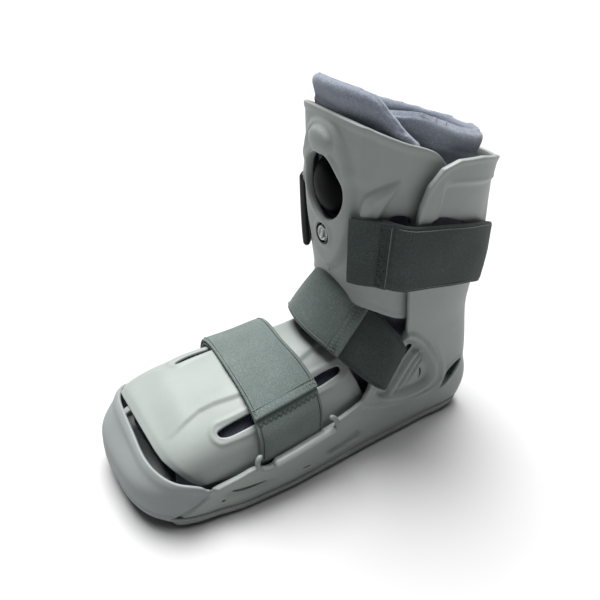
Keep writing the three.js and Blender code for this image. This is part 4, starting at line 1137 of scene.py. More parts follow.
def panel_disp(u, v, P):
    x, y = P[:, 0], P[:, 1]
    r = np.array(PLATEAU_R + PLATEAU_L[::-1], float)
    lift = in_poly(x, y, np.concatenate([r[:len(PLATEAU_R)], [(15, 40), (-22, 40)], r[len(PLATEAU_R):], [(-36, -126), (24, -124)]]), 3.8)
    out = 1.7 * lift * smooth(-121, -100, y)
    # raised welt round the open slots
    for sx in (1, -1):
        d, _ = seg_dist(u, v, [(41.8, -85), (41.8, -70), (40.2, -48)] if sx > 0 else [(-31.2, -86), (-31.0, -70), (-31.0, -48)])
        out += 0.9 * hump(np.abs(d - 7.4 + 1.0 * (sx < 0)), 2.6)
        d, _ = seg_dist(u, v, [(sx * 36.4, -13), (sx * 35.8, 4), (sx * 34.4, 13)])
        out += 0.8 * hump(np.abs(d - 7.0), 2.6)
    # thick rolled front edge
    out -= 0.9 * smooth(5.0, 0.0, v - hem(np.abs(u)))
    out += 0.7 * hump(np.hypot(u + 1.5, v - 4.4) - 2.6, 1.8) * (np.hypot(u + 1.5, v - 4.4) < 6)
    back = mix(12, 44, (np.abs(u) / PANEL_L) ** 1.6)
    out += 0.6 * hump(back - 2.2 - v, 3.2)
    return out


def build_panel():
    o = skin("forefoot_cover", panel, panel_loops(), [M_SHELL], T=PANEL_T, su=1.25, sv=1.25, disp=panel_disp, rim=0.9, coarse=4.5)
    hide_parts("forefoot_panel")
    # small tab that bridges the gap to the bumper at the toe
    V = []
    c = np.array([(-19.5, -134.8, 54.4), (-19.2, -132.8, 56.2), (-18.9, -130.8, 57.6), (-18.6, -128.6, 58.4)])
    c = resample(c, 14)
    w = 3.4
    for i, p in enumerate(c):
        half_w = w * (1 - 0.15 * math.sin(math.pi * i / 13))
        for j in range(16):
            q = 2 * math.pi * j / 16
            V.append(p + np.array([half_w * spow(math.cos(q), 0.45), 0.0, 0.0]) + np.array([0, -0.6, 0.8]) * 1.7 * spow(math.sin(q), 0.6))
    F = grid_faces(14, 16, wrap_s=True) + [tuple(range(16))[::-1], tuple(13 * 16 + k for k in range(16))]
    t = make("toe_tab", np.array(V, float), F, [M_SHELL])
    tidy(t)
    return o


# ------------------------------------------------------------------ shin panel
def shin_loops():
    n = 260
    u = np.linspace(-94, 94, n)
    ref = shin.at(u, np.full(n, 200.0))
    low = np.stack([u, shin_bottom(ref[:, 1])], 1)
    top = np.stack([u, shin_top(ref[:, 1])], 1)
    k = np.linspace(0, 1, 90)[1:-1]
    r = np.stack([np.full(len(k), 94.0), mix(low[-1, 1], top[-1, 1], k)], 1)
    left = np.stack([np.full(len(k), -94.0), mix(low[0, 1], top[0, 1], k)], 1)
    outer = np.concatenate([low, r, top[::-1], left[::-1]])
    outer = chaikin(outer, 1)
    outer = outer[::2]
    q = np.linspace(0, 2 * math.pi, 97)[:-1]
    loops = [densify(outer, 1.7)]

    def circle(r, z):
        pts = []
        for a in q:
            x, zz = r * math.cos(a), z + r * math.sin(a)
            row = int(round((zz - shin.vs[0]) / (shin.vs[1] - shin.vs[0])))
            pts.append((float(np.interp(x, shin.P[row][:, 0], shin.us)), zz))
        return np.array(pts)

    loops.append(densify(circle(BULB_R + 1.0, BULB_Z), 1.2))
    loops.append(densify(circle(DIAL_R + 1.9, DIAL_Z), 0.9))
    loops.append(densify(circle(1.5, 146.5), 0.8))
    for sx in (1, -1):
        loops.append(densify(chaikin(np.array([(sx * a, b) for a, b in ((53, 190), (72, 190), (73, 203), (62, 206.5), (54, 204.5))], float), 2), 1.1))
    return loops


BEZEL = chaikin(np.array([(0, 258), (13, 255), (23, 243), (29, 226), (30.5, 207), (27, 184), (18, 163), (7, 153), (0, 152), (-7, 153), (-18, 163), (-27, 184), (-30.5, 207), (-29, 226), (-23, 243), (-13, 255)], float), 2)
FIN = np.array([(35.5, 203), (35.6, 210), (38, 216.5), (43, 221), (50, 225.4), (58.5, 229.6), (61, 229.2), (57, 222), (52.5, 214), (49, 206), (46, 198), (36, 196)], float)


def shin_disp(u, v, P):
    out = np.zeros(len(u))
    d, _ = seg_dist(u, v, np.concatenate([BEZEL, BEZEL[:1]]))
    ins = inside(np.stack([u, v], 1), [BEZEL])
    s = np.where(ins, d, -d)
    out += 2.4 * smooth(-2.2, 3.2, s)
    out -= 1.3 * hump(s + 4.2, 5.0)
    # thick lip round the bulb, level all the way round
    r = np.hypot(P[:, 0], v - BULB_Z)
    out = mix(out, 2.2, smooth(BULB_R + 8.0, BULB_R + 3.0, r))
    out += 0.7 * hump(r - BULB_R - 2.6, 3.4)
    r = np.hypot(P[:, 0], v - DIAL_Z)
    out += 0.7 * hump(r - DIAL_R - 3.4, 2.2)
    # moulded boss over the bulb: a short ledge
    a = np.hypot((u - 1.0) / 13.5, (v - 245.0) / 9.5)
    out += 5.2 * np.sqrt(np.maximum(0, 1 - np.minimum(a, 1) ** 2)) * smooth(1.0, 0.8, a)
    out += 0.9 * hump(np.hypot(u + 5.5, v - 152), 4.5)
    # fins beside the bezel
    for sx in (1, -1):
        k = in_poly(u * sx, v, chaikin(FIN, 1), 2.6)
        crest, _ = seg_dist(u * sx, v, [(39, 205), (44, 214), (51, 221), (58.5, 228)])
        out += (2.6 + 1.6 * hump(crest, 5)) * k * smooth(0, 14, 232 - v)
        # upright creases where the face turns to the sides
        c = 31.0 + 0.012 * (v - 200)
        out += 1.2 * hump(u * sx - c - 2.0, 4.0) * smooth(218, 232, v) - 0.5 * hump(u * sx - c - 8.0, 5.0) * smooth(224, 236, v)
    ref = shin.at(u, np.full(len(u), 200.0))
    out += 0.8 * hump(shin_top(ref[:, 1]) - 2.0 - v, 3.4)
    out += 0.6 * hump(v - shin_bottom(ref[:, 1]) - 2.0, 3.4)
    return out


def build_shin():
    o = skin("shin_cover", shin, shin_loops(), [M_SHELL], T=PANEL_T, su=1.2, sv=1.2, disp=shin_disp, rim=0.8, coarse=5.0)
    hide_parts("shin_panel")
    return o


def build_bulb():
    yf = float(shin_front(BULB_Z))
    prof = [(0, 3.3), (3, 3.28), (7, 2.9), (11, 2.0), (14.5, 0.5), (17.4, -1.5), (19.4, -4.0), (20.4, -6.4), (20.9, -8.2), (21.6, -8.6), (22.4, -8.7), (22.8, -9.4), (22.8, -11.6), (22.2, -12.2), (0, -12.2)]
    p = np.array(prof, float)
    fine = catmull(np.column_stack([p[:9], np.zeros(9)]), 60)[:, :2]
    rows = [(float(a), float(b)) for a, b in fine] + prof[9:]
    rows[0] = (0.0, rows[0][1])
    V, F = lathe(rows, 112, centre=(0, yf, BULB_Z))
    o = make("bulb_dome", V, F, [M_BLACK])
    tidy(o)
    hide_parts("inflation_bulb")
    return o


def build_dial():
    yf = float(shin_front(DIAL_Z))
    r0 = DIAL_R
    prof = [(r0 + 0.45, -2.0), (r0 + 0.45, 2.6), (r0 + 0.7, 3.1), (r0 + 1.3, 3.2), (r0 + 1.75, 2.8), (r0 + 1.8, 2.0), (r0 + 1.8, -4.2), (0, -4.2), (0, -2.0)]
    rows = prof[:7]
    V1, F1 = lathe([(0.0, -2.0)] + rows + [(0.0, -4.2)], 80, centre=(0, yf, DIAL_Z))
    s = make("selector_ring", V1, F1, [M_RING])
    tidy(s)
    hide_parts("selector_seat")
    # turning knob: a dished disc, a broken rim and a grip bar
    parts = []
    kn = [(0, 1.3), (2.0, 1.35), (3.4, 1.6), (4.2, 2.0), (4.7, 2.2), (5.2, 2.1), (5.6, 1.6), (6.1, 1.2), (6.2, 0.6), (6.2, -1.4), (5.9, -1.6), (0, -1.6)]
    parts.append(lathe(kn, 72, centre=(0, yf, DIAL_Z)))
    q = np.linspace(math.radians(50), math.radians(330), 50)
    arc = np.stack([4.5 * np.cos(q), np.full(50, yf - 2.55), DIAL_Z + 4.5 * np.sin(q)], 1)
    parts.append(tube(arc, np.concatenate([[0.35, 0.75], np.full(46, 0.95), [0.75, 0.35]]), 10))
    bar = np.stack([np.zeros(14), np.full(14, yf - 2.7), DIAL_Z + np.linspace(-3.6, 3.6, 14)], 1)
    parts.append(tube(bar, np.concatenate([[0.4, 0.9], np.full(10, 1.15), [0.9, 0.4]]), 12))
    V, F = join(parts)
    k = make("selector_knob", V, F, [M_KNOB], body="dial")
    tidy(k)
    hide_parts("selector_dial")
    return k

# ------------------------------------------------------------------ straps
PATH_X = Column([(0, 0), (0.25, 0.36), (0.5, 0.68), (0.68, 0.85), (0.84, 0.93), (0.93, 0.926), (1.0, 0.911)])
PATH_Z = Column([(0, 1.0), (0.25, 0.97), (0.5, 0.87), (0.68, 0.72), (0.84, 0.46), (1.0, 0.05)])
FOOT_Y = -35.0


def foot_at(lift=0.2):
    def F(t, s):
        a = np.abs(t)
        y = FOOT_Y - 4 * (1 - a) + s * mix(23.5, 26, a)
        x = np.sign(t) * PATH_X(a) * (sole_w(y) + lift)
        top = crown(y) + 1.2 + lift
        return np.stack([x, y, 36 + (top - 36) * PATH_Z(a) + 0.6 * toe_tilt(x, y)], -1)
    return F


CALF = Column([(-62, 178), (-42, 179.5), (-22, 176), (0, 173), (18, 169.5), (36, 165), (50, 158.5), (64, 150), (76, 145.2), (84, 143.4), (90, 143.1)])


def leg_out(a, z, lift):
    r = np.radians(a)
    c, s = np.abs(np.cos(r)), np.sin(r)
    fold = np.where(a > 90, 180 - a, a)

    def egg(half, depth, n):
        return ((c / (half + lift)) ** n + (np.abs(s) / (depth + lift)) ** n) ** (-1 / n)

    back = egg(rear_leg(z), rear_back(z) - LEG_START, LEG_N)
    front = mix(egg(rear_leg(z), 86, 3), egg(shin_half(z), LEG_START - shin_front(z), SHIN_N), smooth(-25, -46, fold))
    return np.where(s > 0, back, front)


def calf_at(lift=1.5, mid=None, half=None):
    def F(t, s):
        z = (CALF(np.where(t > 90, 180 - t, t)) if mid is None else mid) + s * ((STRAP_W - 1) / 2 if half is None else half)
        r = leg_out(t, z, lift)
        return np.stack([r * np.cos(np.radians(t)), LEG_START + r * np.sin(np.radians(t)), z], -1)
    return F


ANKLE = [(0, -0.5, 104, 0, 30.6, 143.5), (19, 2.5, 101, 14, 31.2, 141), (36, 13.5, 91, 27, 36.5, 133), (47.0, 26, 78, 40.6, 44.0, 123), (52.2, 38, 67, 50.6, 53, 111), (52.0, 45.4, 61.6, 51.8, 61.2, 96.0)]
_rows = [(-x, ly, lz + (0 if i < 3 else 3), -ux, uy, uz) for i, (x, ly, lz, ux, uy, uz) in enumerate(ANKLE[1:][::-1])] + ANKLE
A_LOW = catmull([(r[0], r[1], r[2]) for r in _rows], 241)
A_UP = catmull([(r[3], r[4], r[5]) for r in _rows], 241)


def ankle_at(lift=0.0):
    def F(t, s):
        k = clamp(np.asarray(t, float), 0, 1) * 240
        i = np.minimum(k.astype(int), 239)
        f = (k - i)[..., None]
        L, U = A_LOW[i] * (1 - f) + A_LOW[i + 1] * f, A_UP[i] * (1 - f) + A_UP[i + 1] * f
        h = ((np.asarray(s, float) + 1) / 2)[..., None]
        # the band bows outward a little between its two edges
        p = L * (1 - h) + U * h
        T, W = A_LOW[i + 1] - A_LOW[i] + A_UP[i + 1] - A_UP[i], U - L
        n = unit(np.cross(T, W))
        n = n * np.sign(np.sum(n * np.stack([p[..., 0], p[..., 1] - 60, 30 + 0 * p[..., 0]], -1), -1, keepdims=True))
        return p + n * (lift + 1.6 * (1 - (2 * h - 1) ** 2) * np.sin(np.pi * k / 240)[..., None])
    return F


def selvedge(x, y, L, W):
    """a soft pressed line of sewing near both edges, with a little slack between"""
    d = np.minimum(y, W - y)
    out = -0.35 * hump(d - 2.6, 1.1)
    out += 0.22 * np.sin(x / 9.0 + 1.3 * np.sin(y / 11.0)) + 0.15 * np.sin(y / 6.5 + x / 23.0)
    return out


def zigzag(F, t0, t1, s0, s1, n, up, rows=1):
    """points of a zigzag seam that runs in s, swinging in t"""
    runs = []
    for r in range(rows):
        a, b = t0 + (t1 - t0) * r / rows, t0 + (t1 - t0) * (r + 1) / rows
        ss = np.linspace(s0, s1, n)
        tt = np.where(np.arange(n) % 2 == 0, a, b)
        runs.append(on_ribbon(F, tt, ss, up))
    return runs


def straight(F, t, s0, s1, n, up):
    return on_ribbon(F, np.full(n, t), np.linspace(s0, s1, n), up)


def along(F, t0, t1, s, n, up):
    return on_ribbon(F, np.linspace(t0, t1, n), np.full(n, s), up)


def build_straps():
    # forefoot strap: a dark tape below, a brushed one on top
    F = foot_at(0.2)
    o, _ = ribbon("forefoot_strap_tape", F, -0.99, 0.985, [M_HOOKTAPE], T=STRAP_T, bumps=selvedge, cross=1.8, step=1.8)
    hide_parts("forefoot_strap")
    F2 = foot_at(0.2 + STRAP_T + 0.25)

    def lip(x, y, L, W):
        return selvedge(x, y, L, W) + 0.9 * smooth(6, 0, L - x) + 0.7 * smooth(7, 0, x)

    o, _ = ribbon("forefoot_strap_top", F2, -0.84, 0.61, [M_LIGHTSTRAP], T=2.3, bumps=lip, cross=1.7, step=1.7, r=1.1)
    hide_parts("forefoot_strap_end")
    up = 2.35
    runs = zigzag(F2, 0.54, 0.575, -0.95, 0.95, 34, up) + [straight(F2, 0.595, -0.96, 0.96, 30, up), straight(F2, 0.52, -0.96, 0.96, 30, up)]
    runs += [along(F2, -0.80, 0.59, s, 70, up) for s in (-0.9, 0.9)]
    th = threads("forefoot_stitching", runs, M_THREAD)
    low = 2.25
    runs = [along(F, 0.69, 0.96, s, 16, low) for s in (-0.9, 0.9)] + [along(F, -0.97, -0.86, s, 7, low) for s in (-0.9, 0.9)]
    runs += zigzag(F, 0.655, 0.685, -0.93, 0.93, 26, low)
    th = threads("forefoot_tape_stitching", runs, M_THREAD_DARK)

    # calf strap
    C = calf_at(1.9)

    def calf_bumps(x, y, L, W):
        out = selvedge(x, y, L, W)
        # the padded tape swells between the edges and thins into its front end
        out += 0.7 * hump(y - W / 2, W * 0.46) * smooth(0, 30, x)
        out += 0.5 * np.sin(x / 16.0) * hump(y - W / 2, W * 0.4) * smooth(10, 60, x)
        return out

    o, _ = ribbon("calf_strap_band", C, -61.5, 213.5, [M_DARKSTRAP], T=2.9, bumps=calf_bumps, cross=1.5, step=1.9, r=1.45)
    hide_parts("calf_strap")
    C2 = calf_at(1.9 + 2.9 + 0.15)
    o, _ = ribbon("calf_strap_tab", C2, -61.8, -37, [M_DARKSTRAP], T=1.5, bumps=lambda x, y, L, W: 0.15 * np.sin(y / 5) + 0.1 * np.sin(x / 3.1), cross=1.5, step=1.4, r=0.75, s0=-0.985, s1=0.985)
    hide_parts("calf_strap_end")
    up = 1.75
    runs = []
    for k, t in enumerate(np.linspace(-43.8, -38.6, 4)):
        runs.append(straight(C2, t, -0.93, 0.93, 22, up))
    for k, s in enumerate(np.linspace(-0.9, 0.9, 13)):
        a, b = (-43.8, -42.1) if k % 2 else (-42.1, -40.3)
        runs.append(along(C2, a, b, s, 3, up))
        a, b = (-40.3, -38.6) if k % 2 else (-43.8, -42.1)
        runs.append(along(C2, a, b, s + 0.05 * (k < 12), 3, up))
    th = threads("calf_stitching_box", runs, M_THREAD_DARK, r=0.26)
    runs = [straight(C2, -37.7, -0.9, 0.9, 24, up)]
    runs += [along(C, -34, 205, s, 150, 2.95) for s in (-0.9, 0.9)]
    th = threads("calf_stitching", runs, M_THREAD, r=0.24)

    # ankle strap
    A = ankle_at(0.0)
    # behind the shin panel the band is hidden, so its upper edge stops at the panel's hem
    o, _ = ribbon("ankle_strap_band", A, 0.0, 1.0, [M_DARKSTRAP], T=STRAP_T, bumps=selvedge, cross=1.7, step=1.7, s0=-1.0, s1=0.985)
    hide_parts("ankle_strap")
    A2 = ankle_at(STRAP_T + 0.25)
    o, _ = ribbon("ankle_strap_top", A2, 0.10, 0.725, [M_LIGHTSTRAP], T=1.9, bumps=lip, cross=1.7, step=1.7, r=0.95, s0=-0.985, s1=0.90)
    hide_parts("ankle_strap_end")
    up = 2.0
    runs = zigzag(A2, 0.672, 0.702, -0.93, 0.86, 30, up) + [straight(A2, 0.716, -0.94, 0.86, 26, up), straight(A2, 0.66, -0.94, 0.86, 26, up)]
    runs += [along(A2, 0.12, 0.70, s, 60, up) for s in (-0.88,)]
    th = threads("ankle_stitching", runs, M_THREAD)
    runs = [along(A, 0.75, 0.985, s, 16, 2.3) for s in (-0.9, 0.9)]
    th = threads("ankle_tape_stitching", runs, M_THREAD_DARK)


# ------------------------------------------------------------------ strap loops
def wall_point(y, z, side, off):
    u = shell_u(y, 40.0, side)
    p, n = shell.at(u, 40.0), shell.normal(u, 40.0)
    n = unit(np.array([n[0], n[1], 0.0]))
    return np.array([p[0], p[1], z]) + n * off


def build_loops():
    for side, tag in ((1, "left"), (-1, "right")):
        # moulded frame with two arms that hook round the bar
        parts = []
        for arm in ([(-62.6, 52.8, 1.4), (-64.8, 51.4, 2.0), (-66.2, 47.8, 2.2), (-65.4, 43, 1.9), (-62.6, 38.8, 1.5), (-58.4, 36.2, 1.2), (-53.0, 35.2, 0.6)], [(-6.4, 59.6, 1.2), (-3.4, 58.4, 1.8), (-0.6, 54.6, 2.0), (1.2, 49.6, 1.4), (1.4, 45.0, 0.4)]):
            c = catmull([wall_point(y, z, side, o) for y, z, o in arm], 34)
            r = np.concatenate([[0.5, 1.3, 1.75], np.full(31, 1.95)])
            parts.append(tube(c, r, 14))
        V, F = join(parts)
        o = make("forefoot_loop_frame_" + tag, V, F, [M_LOOP])
        tidy(o)
        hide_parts("forefoot_loop_" + tag)
        c = catmull([wall_point(y, z, side, 0.9) for y, z in ((-52.0, 37.4), (-45, 38.6), (-30, 41.0), (-15, 43.2), (-0.5, 45.0))], 70)
        ends = np.concatenate([[1.2, 2.2, 2.7], np.full(64, 2.85), [2.7, 2.2, 1.2]])
        V, F = tube(c, ends, 18)
        b = make("forefoot_loop_bar_" + tag, V, F, [M_BAR])
    # frame on the far side of the shin that the calf strap passes
    G = calf_at(0.9, mid=178.0, half=28.0)
    L = []
    for a, b in (((215, -1), (215, 1)), ((215, 1), (233, 1)), ((233, 1), (233, -1)), ((233, -1), (215, -1))):
        k = np.linspace(0, 1, 24, endpoint=False)
        L.append(np.stack([mix(a[0], b[0], k), mix(a[1], b[1], k)], 1))
    loop = chaikin(np.concatenate(L), 3)[::4]
    N = on_ribbon(G, loop[:, 0], loop[:, 1], 3.0)[0]
    # pull the ring in by its own radius so that it stays in its place
    c = N.mean(0)
    N = c + (N - c) * 0.93
    parts = [tube(N, 2.9, 14, closed=True, flat=1.1)]
    post = on_ribbon(G, np.full(24, 224.5), np.linspace(-0.93, 0.93, 24), 2.6)[0]
    parts.append(tube(post, np.concatenate([[0.6, 1.3], np.full(20, 1.6), [1.3, 0.6]]), 12))
    V, F = join(parts)
    o = make("calf_loop_frame", V, F, [M_RING])
    tidy(o)
    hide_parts("calf_loop_right")


# ------------------------------------------------------------------ liner
LEG_F = Column([(30, 38), (60, 40), (90, 39), (120, 37.5), (146, 34.5), (180, 27.5), (205, 24.5), (228, 22.5), (255, 21.0), (290, 19.5)])
LEG_B = Column([(30, 141), (60, 142.5), (90, 142), (120, 142), (146, 142.5), (180, 140), (205, 137), (228, 133.5), (255, 130.5), (290, 129)])
LEG_H = Column([(30, 39.5), (60, 40.5), (90, 41.5), (120, 42.5), (146, 43.2), (180, 43.8), (205, 44.2), (228, 44.8), (255, 45.6), (290, 46)])
RIM = Column([(-10, 288), (8, 285), (20, 282), (50, 271.5), (69, 265), (92, 257), (115, 251), (135, 246), (175, 236)])
LINER_T = 6.5


def rim_at(x, y):
    """height of the collar's rim, lower where the flap covers it"""
    return RIM(y) - 7.5 * smooth(56, 24, y)


def leg_at(q, z, d):
    """a place on the leg tube: q from the back, d inward"""
    f, b, w = LEG_F(z) + d, LEG_B(z) - d, LEG_H(z) - d
    c, r = (f + b) / 2, (b - f) / 2
    return np.stack([w * spow(np.sin(q), 2 / 2.5), c + r * spow(np.cos(q), 2 / 2.5), z + 0 * q], -1)


def swell(o, voxel, pressure, cap, frames=20, smooth_it=2, shrink=0.0):
    """puff a closed pad with cloth pressure, with a limit on how far a point moves"""
    for n in bpy.context.selected_objects:
        n.select_set(False)
    bpy.context.view_layer.objects.active = o
    o.select_set(True)
    m = o.modifiers.new("remesh", "REMESH")
    m.mode = "VOXEL"
    m.voxel_size = voxel * MM
    m.use_smooth_shade = True
    bpy.ops.object.modifier_apply(modifier=m.name)
    me = o.data
    start = np.empty(len(me.vertices) * 3)
    me.vertices.foreach_get("co", start)
    start = start.reshape(-1, 3)
    c = o.modifiers.new("cloth", "CLOTH")
    s = c.settings
    s.quality = 5
    s.mass = 0.3
    s.tension_stiffness = s.compression_stiffness = 12
    s.shear_stiffness = 6
    s.bending_stiffness = 0.6
    s.use_pressure = True
    s.uniform_pressure_force = pressure
    s.effector_weights.gravity = 0
    c.collision_settings.use_collision = False
    sc = bpy.context.scene
    c.point_cache.frame_start, c.point_cache.frame_end = 1, frames
    for k in range(1, frames + 1):
        sc.frame_set(k)
    dg = bpy.context.evaluated_depsgraph_get()
    ev = o.evaluated_get(dg).data
    now = np.empty(len(ev.vertices) * 3)
    ev.vertices.foreach_get("co", now)
    now = now.reshape(-1, 3)
    o.modifiers.remove(c)
    sc.frame_set(1)
    move = now - start
    far = np.linalg.norm(move, axis=1, keepdims=True)
    move *= np.minimum(1.0, cap * MM / np.maximum(far, 1e-9))
    me.vertices.foreach_set("co", (start + move).ravel())
    me.update()
    bm = bmesh.new()
    bm.from_mesh(me)
    for _ in range(smooth_it):
        bmesh.ops.smooth_vert(bm, verts=bm.verts, factor=0.5, use_axis_x=True, use_axis_y=True, use_axis_z=True)
    bm.to_mesh(me)
    bm.free()
    m = o.modifiers.new("fine", "SUBSURF")
    m.levels = m.render_levels = 1
    bpy.ops.object.modifier_apply(modifier=m.name)
    me.polygons.foreach_set("use_smooth", np.full(len(me.polygons), True))
    me.update()
    return o


def coords(o):
    c = np.empty(len(o.data.vertices) * 3)
    o.data.vertices.foreach_get("co", c)
    c = c.reshape(-1, 3) / MM
    c[:, 1] -= SHIFT_Y
    n = np.empty(len(o.data.vertices) * 3)
    o.data.vertices.foreach_get("normal", n)
    return c, n.reshape(-1, 3)


def put(o, c):
    o.data.vertices.foreach_set("co", place(c).ravel())
    o.data.update()


def build_liner():
    nq, nv = 150, 74
    q = np.linspace(0, 2 * math.pi, nq, endpoint=False)
    # collar: from deep inside the shell up over a fat rolled rim and down inside
    V = []
    for k in range(nv * 2):
        outer = k < nv
        f = k / (nv - 1) if outer else (2 * nv - 1 - k) / (nv - 1)
        ref = leg_at(q, np.full(nq, 260.0), 3.0)
        top = rim_at(ref[:, 0], ref[:, 1]) - 7.6
        low = np.full(nq, 60.0)
        z = mix(low, top, f)
        near = smooth(15, 6, top - z)
        roll = 4.2 * near
        d = np.where(outer, 0.9 - roll * 0.75, LINER_T - 0.9 + roll * 0.8)
        V.append(leg_at(q, z, d))
    V = np.array(V)
    # round cap between the outer and inner rows at the rim
    o_top, i_top = V[nv - 1], V[nv]
    mid, half = (o_top + i_top) / 2, (o_top - i_top) / 2
    cap = []
    for a in np.linspace(0, math.pi, 11)[1:-1]:
        rise = np.linalg.norm(half, axis=1, keepdims=True) * math.sin(a) * np.array([0, 0, 1.0])
        cap.append(mid + half * math.cos(a) + rise)
    rows = np.concatenate([V[:nv], np.array(cap), V[nv:]])
    R = len(rows)
    F = grid_faces(R, nq, wrap_t=True, wrap_s=True)
    o = make("liner_collar", rows.reshape(-1, 3), F, [M_LINER])
    bm = bmesh.new()
    bm.from_mesh(o.data)
    bmesh.ops.recalc_face_normals(bm, faces=bm.faces)
    bm.to_mesh(o.data)
    bm.free()
    swell(o, 3.0, 3.0, 1.6, smooth_it=7)
    c, n = coords(o)
    # sewn lines and slack: a pressed seam under the roll, a second pressed line lower down, soft creases
    qq = np.arctan2(c[:, 0], -(c[:, 1] - 78))
    depth = rim_at(c[:, 0], c[:, 1]) - c[:, 2]
    outside = n[:, 0] * c[:, 0] + n[:, 1] * (c[:, 1] - 78) > 0
    seam = hump(depth - 19.0 - 0.8 * np.sin(c[:, 1] / 17.0), 3.2)
    push = -1.6 * seam * outside
    push += -0.9 * hump(depth - 30.0 - 2.0 * np.sin(c[:, 1] / 21.0 + 1), 3.4) * outside
    push += 0.4 * np.sin(c[:, 1] / 11.0 + c[:, 2] / 13.0 + 1.5 * np.sin(c[:, 0] / 15.0)) * smooth(2, 12, depth) * smooth(70, 40, depth)
    put(o, c + n * push[:, None])
    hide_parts("liner")

    # foot part, seen through the slots and at the toe, in a darker copy of the liner cloth that is painted shade
    ys = np.linspace(-121, 112, 86)
    m = 49
    qf = np.linspace(-math.pi / 2, math.pi / 2, m)
    outer, inner = [], []
    for rows_, d in ((outer, 0.3), (inner, LINER_T)):
        for y in ys:
            half_w = (min(float(sole_w(y)), 60) - 6.0 - PANEL_T - 2.8 - d) * (max(1 - ((-96 - y) / 50) ** 3, 0.05) ** (1 / 3) if y < -96 else 1) * (max(1 - ((y - 104) / 48) ** 2.5, 0.05) ** (1 / 2.5) if y > 104 else 1)
            top = min(float(crown(y)), 100) - PANEL_T - 3.2 - d - 0.6
            n_ = float(arch_n(y))
            xs = half_w * spow(np.sin(qf), 2 / n_)
            zs = 30 + (top - 30) * spow(np.cos(qf), 2 / n_)
            k = np.linspace(0, 1, 14)[1:-1]
            fx = mix(xs[-1] - 4, -(xs[-1] - 4), k)
            fz = np.full(len(k), FLOOR_Z + 1.0 + d)
            x = np.concatenate([xs, [xs[-1] - 1.5], fx, [-(xs[-1] - 1.5)]])
            z = np.concatenate([zs, [FLOOR_Z + 4.5 + d], fz, [FLOOR_Z + 4.5 + d]])
            z = z + toe_tilt(x, y) * smooth(30, 60, z)
            z = np.maximum(z, FLOOR_Z + 4.5 * smooth(-95, -150, y) + 0.9)
            rows_.append(np.stack([x, np.full(len(x), y) + toe_skew(x, y), z], 1))
    outer, inner = np.array(outer), np.array(inner)
    puff = 0.7 * np.sin(outer[..., 1] / 8.0) * np.sin(outer[..., 0] / 13.0)
    outer[..., 2] += puff
    no, mo = outer.shape[0], outer.shape[1]
    Vf = np.concatenate([outer.reshape(-1, 3), inner.reshape(-1, 3)])
    Ff = grid_faces(no, mo, wrap_s=True)
    base = no * mo
    Ff += [tuple(base + i for i in f[::-1]) for f in grid_faces(no, mo, wrap_s=True)]
    for r, flip in ((0, True), (no - 1, False)):
        for j in range(mo):
            j2 = (j + 1) % mo
            f = (r * mo + j, r * mo + j2, base + r * mo + j2, base + r * mo + j)
            Ff.append(f[::-1] if flip else f)
    foot = make("liner_foot", Vf, Ff, [M_LINER_FOOT_SHADED])
    bm = bmesh.new()
    bm.from_mesh(foot.data)
    # the instep is cut off where it meets the leg, and the cut is capped
    kill = [f for f in bm.faces if f.calc_center_median().y > (46 + SHIFT_Y) * MM and f.calc_center_median().z > 0.052]
    bmesh.ops.delete(bm, geom=kill, context="FACES")
    edges = [e for e in bm.edges if e.is_boundary]
    bmesh.ops.holes_fill(bm, edges=edges, sides=0)
    bmesh.ops.recalc_face_normals(bm, faces=bm.faces)
    bm.to_mesh(foot.data)
    bm.free()

    # front flap: a thick quilted pad that laps from the far side across the shin
    build_flap()


def flap_at(q, h, off):
    cut = smooth(0.55, 1.35, q)
    z = mix(154.0, mix(282.0, 262.0, cut) - 17.0 * smooth(-0.5, -0.95, q), h)
    f, w, b = LEG_F(z) - off, LEG_H(z) + off, LEG_B(z) + off
    c, r = (f + b) / 2, (b - f) / 2
    return np.stack([w * spow(np.sin(q), 2 / 2.5), c - r * spow(np.cos(q), 2 / 2.5), z - 0.33 * (c - r * np.cos(q) - 20) * h], -1)


